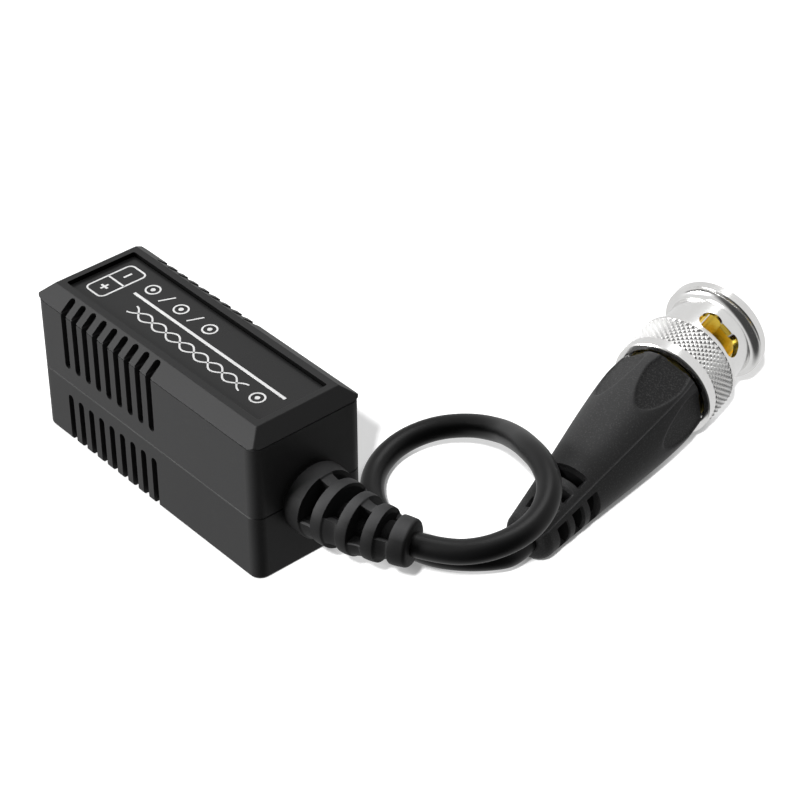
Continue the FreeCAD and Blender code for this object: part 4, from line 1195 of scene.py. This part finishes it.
@dataclass
class Knurl:
    """Diamond knurl of the coupling nut, whose points stand on the nut's plain band."""

    start: float = -4.95 * MM
    end: float = -0.75 * MM
    root_radius: float = 6.97 * MM
    crest_radius: float = 7.22 * MM
    around: int = 54
    rows: int = 10
    tip_share: float = 0.12

    def _sizes(self) -> dict[str, float | int]:
        """The tree's inputs by name."""
        return {
            "Around": self.around,
            "Rows": self.rows,
            "Root Radius": self.root_radius,
            "Crest Radius": self.crest_radius,
            "Start": self.start,
            "Length": self.end - self.start,
            "Tip Share": self.tip_share,
        }

    def _tree(self, steel: bpy.types.Material) -> bpy.types.NodeTree:
        """Build the tree that sets the diamonds in staggered rows.

        Args:
            steel: The finish of the diamonds.

        Returns:
            The geometry tree.
        """
        tree = bpy.data.node_groups.new("diamond_knurl", "GeometryNodeTree")
        tree.interface.new_socket(name="Geometry", in_out="OUTPUT", socket_type="NodeSocketGeometry")
        for name, value in self._sizes().items():
            kind = "NodeSocketInt" if isinstance(value, int) else "NodeSocketFloat"
            tree.interface.new_socket(name=name, in_out="INPUT", socket_type=kind)
        wiring = Wiring(tree)
        given = wiring.add("NodeGroupInput").outputs
        count = wiring.math("MULTIPLY", given["Around"], given["Rows"])
        points = wiring.add("GeometryNodePoints", {"Count": count})
        index = wiring.add("GeometryNodeInputIndex").outputs[0]
        row = wiring.math("FLOOR", wiring.math("DIVIDE", wiring.math("ADD", index, 0.5), given["Around"]))
        column = wiring.math("SUBTRACT", index, wiring.math("MULTIPLY", row, given["Around"]))
        shift = wiring.math("MULTIPLY", wiring.math("MODULO", row, 2.0), 0.5)
        turn = wiring.math("DIVIDE", wiring.math("ADD", column, shift), given["Around"])
        angle = wiring.math("MULTIPLY", turn, 2.0 * math.pi)
        pitch = wiring.math("DIVIDE", given["Length"], given["Rows"])
        level = wiring.math("MULTIPLY_ADD", wiring.math("ADD", row, 0.5), pitch, given["Start"])
        x = wiring.math("MULTIPLY", wiring.math("COSINE", angle), given["Root Radius"])
        y = wiring.math("MULTIPLY", wiring.math("SINE", angle), given["Root Radius"])
        place = wiring.add("ShaderNodeCombineXYZ", {"X": x, "Y": y, "Z": level}).outputs[0]
        spread = wiring.add("GeometryNodeSetPosition", {"Geometry": points.outputs[0], "Position": place})
        girth = wiring.math("MULTIPLY", given["Root Radius"], 2.0 * math.pi)
        half_width = wiring.math("MULTIPLY", wiring.math("DIVIDE", girth, given["Around"]), 0.5)
        rise = wiring.math("SUBTRACT", given["Crest Radius"], given["Root Radius"])
        point = wiring.add(
            "GeometryNodeMeshCone",
            {"Vertices": 4, "Radius Top": given["Tip Share"], "Radius Bottom": 1.0, "Depth": 1.0},
        )
        lying = wiring.add(
            "GeometryNodeTransform",
            {"Geometry": point.outputs[0], "Rotation": (0.0, math.radians(90.0), 0.0)},
        )
        size = wiring.add("ShaderNodeCombineXYZ", {"X": rise, "Y": half_width, "Z": pitch}).outputs[0]
        sized = wiring.add("GeometryNodeTransform", {"Geometry": lying.outputs[0], "Scale": size})
        facing = wiring.add("ShaderNodeCombineXYZ", {"Z": angle}).outputs[0]
        placed = wiring.add(
            "GeometryNodeInstanceOnPoints",
            {"Points": spread.outputs[0], "Instance": sized.outputs[0], "Rotation": facing},
        )
        real = wiring.add("GeometryNodeRealizeInstances", {"Geometry": placed.outputs[0]})
        dressed = wiring.add("GeometryNodeSetMaterial", {"Geometry": real.outputs[0], "Material": steel})
        wiring.add("NodeGroupOutput", {"Geometry": dressed.outputs[0]})
        return tree

    def build(self, axis: PlugAxis, palette: Palette) -> bpy.types.Object:
        """Make the knurl as a plain mesh round the plug's axis.

        Args:
            axis: The plug's frame.
            palette: The part's finishes.

        Returns:
            The new piece.
        """
        holder = new_object("knurl_holder", bpy.data.meshes.new("knurl_holder"))
        modifier = holder.modifiers.new("knurl", "NODES")
        tree = self._tree(palette.knurl)
        modifier.node_group = tree
        values = self._sizes()
        for item in tree.interface.items_tree:
            if item.in_out == "INPUT":
                modifier[item.identifier] = values[item.name]
        graph = bpy.context.evaluated_depsgraph_get()
        mesh = bpy.data.meshes.new_from_object(holder.evaluated_get(graph))
        bpy.data.objects.remove(holder)
        mesh.name = "nut_knurl"
        mesh.transform(axis.matrix())
        return new_object("nut_knurl", mesh)


@dataclass
class LabelPrint:
    """White print on the label: terminal signs, a long rule and plain wiring symbols.

    The sizes of the drawing are in millimetres, those of the ink's level in metres.
    """

    level: float = 21.0 * MM
    thickness: float = 0.02 * MM
    lift: float = 0.004 * MM
    sign_box: tuple[float, float, float, float] = (-17.75, -14.4, -3.6, 3.7)
    sign_box_round: float = 0.75
    bend_steps: int = 6
    box_stroke: float = 0.26
    sign_stroke: float = 0.3
    sign_length: float = 1.25
    rule: tuple[float, float, float] = (-12.4, 17.6, 0.17)
    rule_width: float = 0.42
    symbol_row: float = 2.35
    symbol_centres: tuple[float, ...] = (-11.4, -5.6, 0.2)
    symbol_radius: float = 0.95
    circle_steps: int = 40
    dot_radius: float = 0.17
    dot_stroke: float = 0.33
    dot_steps: int = 16
    slash_reach: Pair = (0.45, 1.05)
    pair_row: float = -2.15
    pair_start: float = -9.8
    pair_end: float = 12.6
    pair_turns: int = 8
    pair_swing: float = 0.8
    steps_a_turn: int = 24
    pair_sign_gap: float = 2.6
    stroke: float = 0.24
    least_mitre: float = 0.4

    def _ribbon(
        self, work: bmesh.types.BMesh, points: Sequence[Pair], width: float, closed: bool = False
    ) -> None:
        """Add a flat stroke of even width along a line.

        Args:
            work: The mesh to add to.
            points: The line's points in millimetres.
            width: The stroke's width in millimetres.
            closed: Whether the line returns to its start.
        """
        line = [Vector((*point, 0.0)) for point in points]
        count = len(line)
        low = self.level + self.lift
        high = low + self.thickness
        rings = []
        for index, point in enumerate(line):
            before = line[index - 1] if closed or index else point
            after = line[(index + 1) % count] if closed or index + 1 < count else point
            into = (point - before).normalized() if (point - before).length else (after - point).normalized()
            out = (after - point).normalized() if (after - point).length else into
            mean = (into + out).normalized()
            reach = Vector((-mean.y, mean.x, 0.0)) * (width / 2 / max(mean.dot(into), self.least_mitre))
            left, right = point + reach, point - reach
            corners = ((left, low), (right, low), (right, high), (left, high))
            rings.append([work.verts.new((spot.x * MM, spot.y * MM, z)) for spot, z in corners])
        for near, far in zip(rings, rings[1:] + rings[:1] if closed else rings[1:]):
            for side in range(4):
                following = (side + 1) % 4
                work.faces.new((near[side], far[side], far[following], near[following]))
        if not closed:
            work.faces.new(rings[0])
            work.faces.new(reversed(rings[-1]))

    @staticmethod
    def _circle(x: float, y: float, radius: float, count: int) -> list[Pair]:
        """Points round a circle."""
        turns = [2.0 * math.pi * index / count for index in range(count)]
        return [(x + radius * math.cos(turn), y + radius * math.sin(turn)) for turn in turns]

    def _rounded_box(self) -> list[Pair]:
        """Outline of the box round the two terminal signs."""
        left, right, low, high = self.sign_box
        bend = self.sign_box_round
        points = []
        corners = ((right - bend, high - bend), (left + bend, high - bend))
        corners += ((left + bend, low + bend), (right - bend, low + bend))
        for quarter, (x, y) in enumerate(corners):
            for step in range(self.bend_steps + 1):
                angle = math.radians(90.0 * (quarter + step / self.bend_steps))
                points.append((x + bend * math.cos(angle), y + bend * math.sin(angle)))
        return points

    def _draw_signs(self, work: bmesh.types.BMesh) -> None:
        """Draw the box with plus and minus."""
        left, right, low, high = self.sign_box
        middle = (low + high) / 2
        centre = (left + right) / 2
        self._ribbon(work, self._rounded_box(), self.box_stroke, closed=True)
        self._ribbon(work, [(left, middle), (right, middle)], self.box_stroke)
        half, edge = self.sign_length / 2, self.sign_stroke / 2
        plus, minus = (low + middle) / 2, (middle + high) / 2
        for start, end in (
            ((centre - half, plus), (centre + half, plus)),
            ((centre, plus - half), (centre, plus - edge)),
            ((centre, plus + edge), (centre, plus + half)),
            ((centre, minus - half), (centre, minus + half)),
        ):
            self._ribbon(work, [start, end], self.sign_stroke)

    def _draw_coax(self, work: bmesh.types.BMesh, x: float, y: float) -> None:
        """Draw a ring with a dot in it, the plain sign for a coaxial line."""
        ring = self._circle(x, y, self.symbol_radius, self.circle_steps)
        self._ribbon(work, ring, self.stroke, closed=True)
        dot = self._circle(x, y, self.dot_radius, self.dot_steps)
        self._ribbon(work, dot, self.dot_stroke, closed=True)

    def _draw_pair(self, work: bmesh.types.BMesh) -> None:
        """Draw a twisted pair that leads to a coaxial sign."""
        count = self.steps_a_turn * self.pair_turns
        for side in (1.0, -1.0):
            points = []
            for index in range(count + 1):
                share = index / count
                x = self.pair_start + (self.pair_end - self.pair_start) * share
                swing = self.pair_swing * math.sin(math.pi * self.pair_turns * share + math.pi / 2)
                points.append((x, self.pair_row + side * swing))
            self._ribbon(work, points, self.stroke)
        self._draw_coax(work, self.pair_end + self.pair_sign_gap, self.pair_row)

    def build(self, palette: Palette) -> bpy.types.Object:
        """Make the print as thin raised ink.

        Args:
            palette: The part's finishes.

        Returns:
            The new piece.
        """
        work = bmesh.new()
        self._draw_signs(work)
        start, end, y = self.rule
        self._ribbon(work, [(start, y), (end, y)], self.rule_width)
        for x in self.symbol_centres:
            self._draw_coax(work, x, self.symbol_row)
        for x, following in zip(self.symbol_centres, self.symbol_centres[1:]):
            middle = (x + following) / 2
            across, up = self.slash_reach
            slant = [(middle - across, self.symbol_row - up), (middle + across, self.symbol_row + up)]
            self._ribbon(work, slant, self.stroke)
        self._draw_pair(work)
        bmesh.ops.recalc_face_normals(work, faces=work.faces)
        mesh = bpy.data.meshes.new("label_print")
        work.to_mesh(mesh)
        work.free()
        mesh.materials.append(palette.ink)
        return new_object("label_print", mesh)


@dataclass(frozen=True)
class Softbox:
    """One square lamp, for the part alone or for the floor alone."""

    name: str
    place: Triple
    side: float
    power: float
    for_floor: bool = False

    def hang(self, target: Triple, lit: bpy.types.Collection) -> None:
        """Put the lamp into the scene.

        Args:
            target: The point that it faces.
            lit: The objects that it lights or leaves out.
        """
        data = bpy.data.lights.new(self.name, "AREA")
        data.shape = "SQUARE"
        data.size = self.side
        data.energy = self.power
        lamp = bpy.data.objects.new(self.name, data)
        lamp.location = self.place
        toward = Vector(target) - Vector(self.place)
        lamp.rotation_euler = toward.to_track_quat("-Z", "Y").to_euler()
        lamp.light_linking.receiver_collection = lit
        bpy.context.scene.collection.objects.link(lamp)


@dataclass
class Studio:
    """Pale floor, soft lamps and the matched camera."""

    camera_place: Triple = (218.33 * MM, -155.89 * MM, 208.07 * MM)
    camera_azimuth: float = 49.071
    camera_elevation: float = 36.417
    camera_roll: float = -0.36
    lens: float = 119.6
    sensor_width: float = 36.0
    clip: Pair = (0.01, 20.0)
    floor_side: float = 6.0
    floor_level: float = -0.05 * MM
    floor_albedo: float = 0.26
    camera_albedo: float = 0.58
    camera_lift: float = 0.58
    contact_shade_reach: float = 2.5 * MM
    contact_shade_samples: int = 8
    sky_strength: float = 0.15
    mirror_sky: float = 0.8
    dark_side: Pair = (0.3, 0.6)
    dark_side_share: float = 0.92
    aim: Triple = (0.01, 0.02, 0.01)
    lamps: tuple[Softbox, ...] = (
        Softbox("key", (-0.36, -0.55, 0.24), 0.3, 9.6),
        Softbox("top", (-0.12, 0.22, 0.7), 0.4, 2.2),
        Softbox("floor_lamp", (0.565, -0.613, 0.83), 0.06, 27.0, for_floor=True),
    )

    def build_camera(self) -> None:
        """Place the camera at the photograph's viewpoint."""
        azimuth = math.radians(self.camera_azimuth)
        elevation = math.radians(self.camera_elevation)
        forward = Vector(
            (
                -math.sin(azimuth) * math.cos(elevation),
                math.cos(azimuth) * math.cos(elevation),
                -math.sin(elevation),
            )
        )
        level = forward.cross(Vector((0.0, 0.0, 1.0))).normalized()
        upward = level.cross(forward)
        roll = math.radians(self.camera_roll)
        right = level * math.cos(roll) + upward * math.sin(roll)
        up = right.cross(forward)
        turned = Matrix((right, up, -forward)).transposed().to_4x4()
        data = bpy.data.cameras.new("matched_camera")
        data.lens = self.lens
        data.sensor_width = self.sensor_width
        data.clip_start, data.clip_end = self.clip
        camera = bpy.data.objects.new("matched_camera", data)
        camera.matrix_world = Matrix.Translation(self.camera_place) @ turned
        bpy.context.scene.collection.objects.link(camera)
        bpy.context.scene.camera = camera

    def build_floor(self) -> bpy.types.Object:
        """Lay the pale floor, which shows white to the camera, keeps the shadow and has painted contact shade
        near the part.

        Returns:
            The floor.
        """
        half = self.floor_side / 2
        mesh = bpy.data.meshes.new("floor")
        corners = ((-half, -half), (half, -half), (half, half), (-half, half))
        mesh.from_pydata([(x, y, self.floor_level) for x, y in corners], [], [(0, 1, 2, 3)])
        floor = new_object("floor", mesh)
        material = bpy.data.materials.new("pale_floor")
        material.use_nodes = True
        wiring = Wiring(material.node_tree)
        seen = wiring.add("ShaderNodeLightPath").outputs["Is Camera Ray"]
        paler = self.camera_albedo - self.floor_albedo
        albedo = wiring.math("MULTIPLY_ADD", seen, paler, self.floor_albedo)
        plain = wiring.add("ShaderNodeBsdfDiffuse", {"Color": albedo}).outputs[0]
        # Painted contact shade: the white that the camera sees is darkened by ambient occlusion near the
        # part.
        reach = {"Distance": self.contact_shade_reach}
        painted_contact_shade = wiring.add("ShaderNodeAmbientOcclusion", reach, samples=self.contact_shade_samples).outputs["AO"]
        strength = wiring.math("MULTIPLY", wiring.math("MULTIPLY", seen, self.camera_lift), painted_contact_shade)
        lift = wiring.add("ShaderNodeEmission", {"Strength": strength}).outputs[0]
        both = wiring.add("ShaderNodeAddShader", {0: plain, 1: lift})
        wiring.add("ShaderNodeOutputMaterial", {"Surface": both.outputs[0]})
        mesh.materials.append(material)
        floor.visible_glossy = False
        return floor

    def build_sky(self) -> None:
        """Light everything a little, show white behind the floor, and a dark side in mirrored metal."""
        world = bpy.data.worlds.new("studio")
        world.use_nodes = True
        bpy.context.scene.world = world
        wiring = Wiring(world.node_tree)
        path = wiring.add("ShaderNodeLightPath").outputs
        heading = wiring.add("ShaderNodeTexCoord").outputs["Generated"]
        toward = Vector((*self.camera_place[:2], 0.0)).normalized()
        facing = wiring.add("ShaderNodeVectorMath", {0: heading, 1: toward}, operation="DOT_PRODUCT")
        dark = wiring.ramp(facing.outputs["Value"], self.dark_side)
        mirror = wiring.math("MULTIPLY_ADD", dark, -self.dark_side_share * self.mirror_sky, self.mirror_sky)
        extra = wiring.math("SUBTRACT", mirror, self.sky_strength)
        white = 1.0 - self.sky_strength
        strength = wiring.math("MULTIPLY_ADD", path["Is Camera Ray"], white, self.sky_strength)
        strength = wiring.math("MULTIPLY_ADD", path["Is Glossy Ray"], extra, strength)
        sky = wiring.add("ShaderNodeBackground", {"Color": (1.0, 1.0, 1.0, 1.0), "Strength": strength})
        wiring.add("ShaderNodeOutputWorld", {"Surface": sky.outputs[0]})

    def build_lamps(self, floor: bpy.types.Object) -> None:
        """Hang the lamps, so that one lights only the floor and the others all but the floor.

        Args:
            floor: The floor.
        """
        floor_alone = bpy.data.collections.new("floor_light")
        floor_alone.objects.link(floor)
        part_alone = bpy.data.collections.new("part_light")
        part_alone.objects.link(floor)
        part_alone.collection_objects[0].light_linking.link_state = "EXCLUDE"
        for lamp in self.lamps:
            lamp.hang(self.aim, floor_alone if lamp.for_floor else part_alone)

    def build(self) -> None:
        """Set up the whole studio."""
        self.build_camera()
        self.build_sky()
        self.build_lamps(self.build_floor())
        bpy.context.scene.view_settings.view_transform = "Standard"


@dataclass
class VideoBalun:
    """The whole part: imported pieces, flexible pieces, plug and print."""

    frame: dict[str, Any]
    flexible: Flexible = field(default_factory=Flexible)
    boot: Boot = field(default_factory=Boot)
    knurl: Knurl = field(default_factory=Knurl)
    label: LabelPrint = field(default_factory=LabelPrint)

    def __post_init__(self) -> None:
        """Read the plug's frame and make the finishes."""
        self.axis = PlugAxis.from_joints(self.frame["joints"])
        self.palette = Palette(self.axis)

    def _take(self, obj: bpy.types.Object, body: Body, slot: Slot, *nodes: str) -> None:
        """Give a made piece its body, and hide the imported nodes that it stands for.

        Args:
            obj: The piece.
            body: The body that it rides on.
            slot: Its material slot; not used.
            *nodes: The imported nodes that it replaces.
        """
        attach(obj, body.value)
        if nodes:
            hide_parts(*nodes)
        LOG.info("piece %s rides on %s", obj.name, body.value)

    def build(self) -> None:
        """Make every piece."""
        PackedPieces(self.frame).dress(self.palette)
        relief = self.flexible.build_relief(self.palette)
        self._take(relief, Body.ROOT, Slot.RELIEF, "strain_relief")
        boot = self.boot.build(self.axis, self.palette)
        self._take(boot, Body.ROOT, Slot.BOOT, "plug_boot")
        knurl = self.knurl.build(self.axis, self.palette)
        self._take(knurl, Body.NUT, Slot.NICKEL)
        print_piece = self.label.build(self.palette)
        self._take(print_piece, Body.ROOT, Slot.LABEL)
        cord = self.flexible.build_cord(CORD_ROUTE, self.axis, self.boot.rear)
        self.palette.dress(cord, Slot.JACKET)
        self._take(cord, Body.ROOT, Slot.JACKET, "cord")
        tuple(self.flexible.station(self.flexible.reach).translation)


def main() -> None:
    """Load the frame, dress the part and set up the studio."""
    logging.basicConfig(level=logging.INFO, format="%(name)s: %(message)s")
    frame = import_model()
    VideoBalun(frame).build()
    Studio().build()


if __name__ == "__main__":
    main()
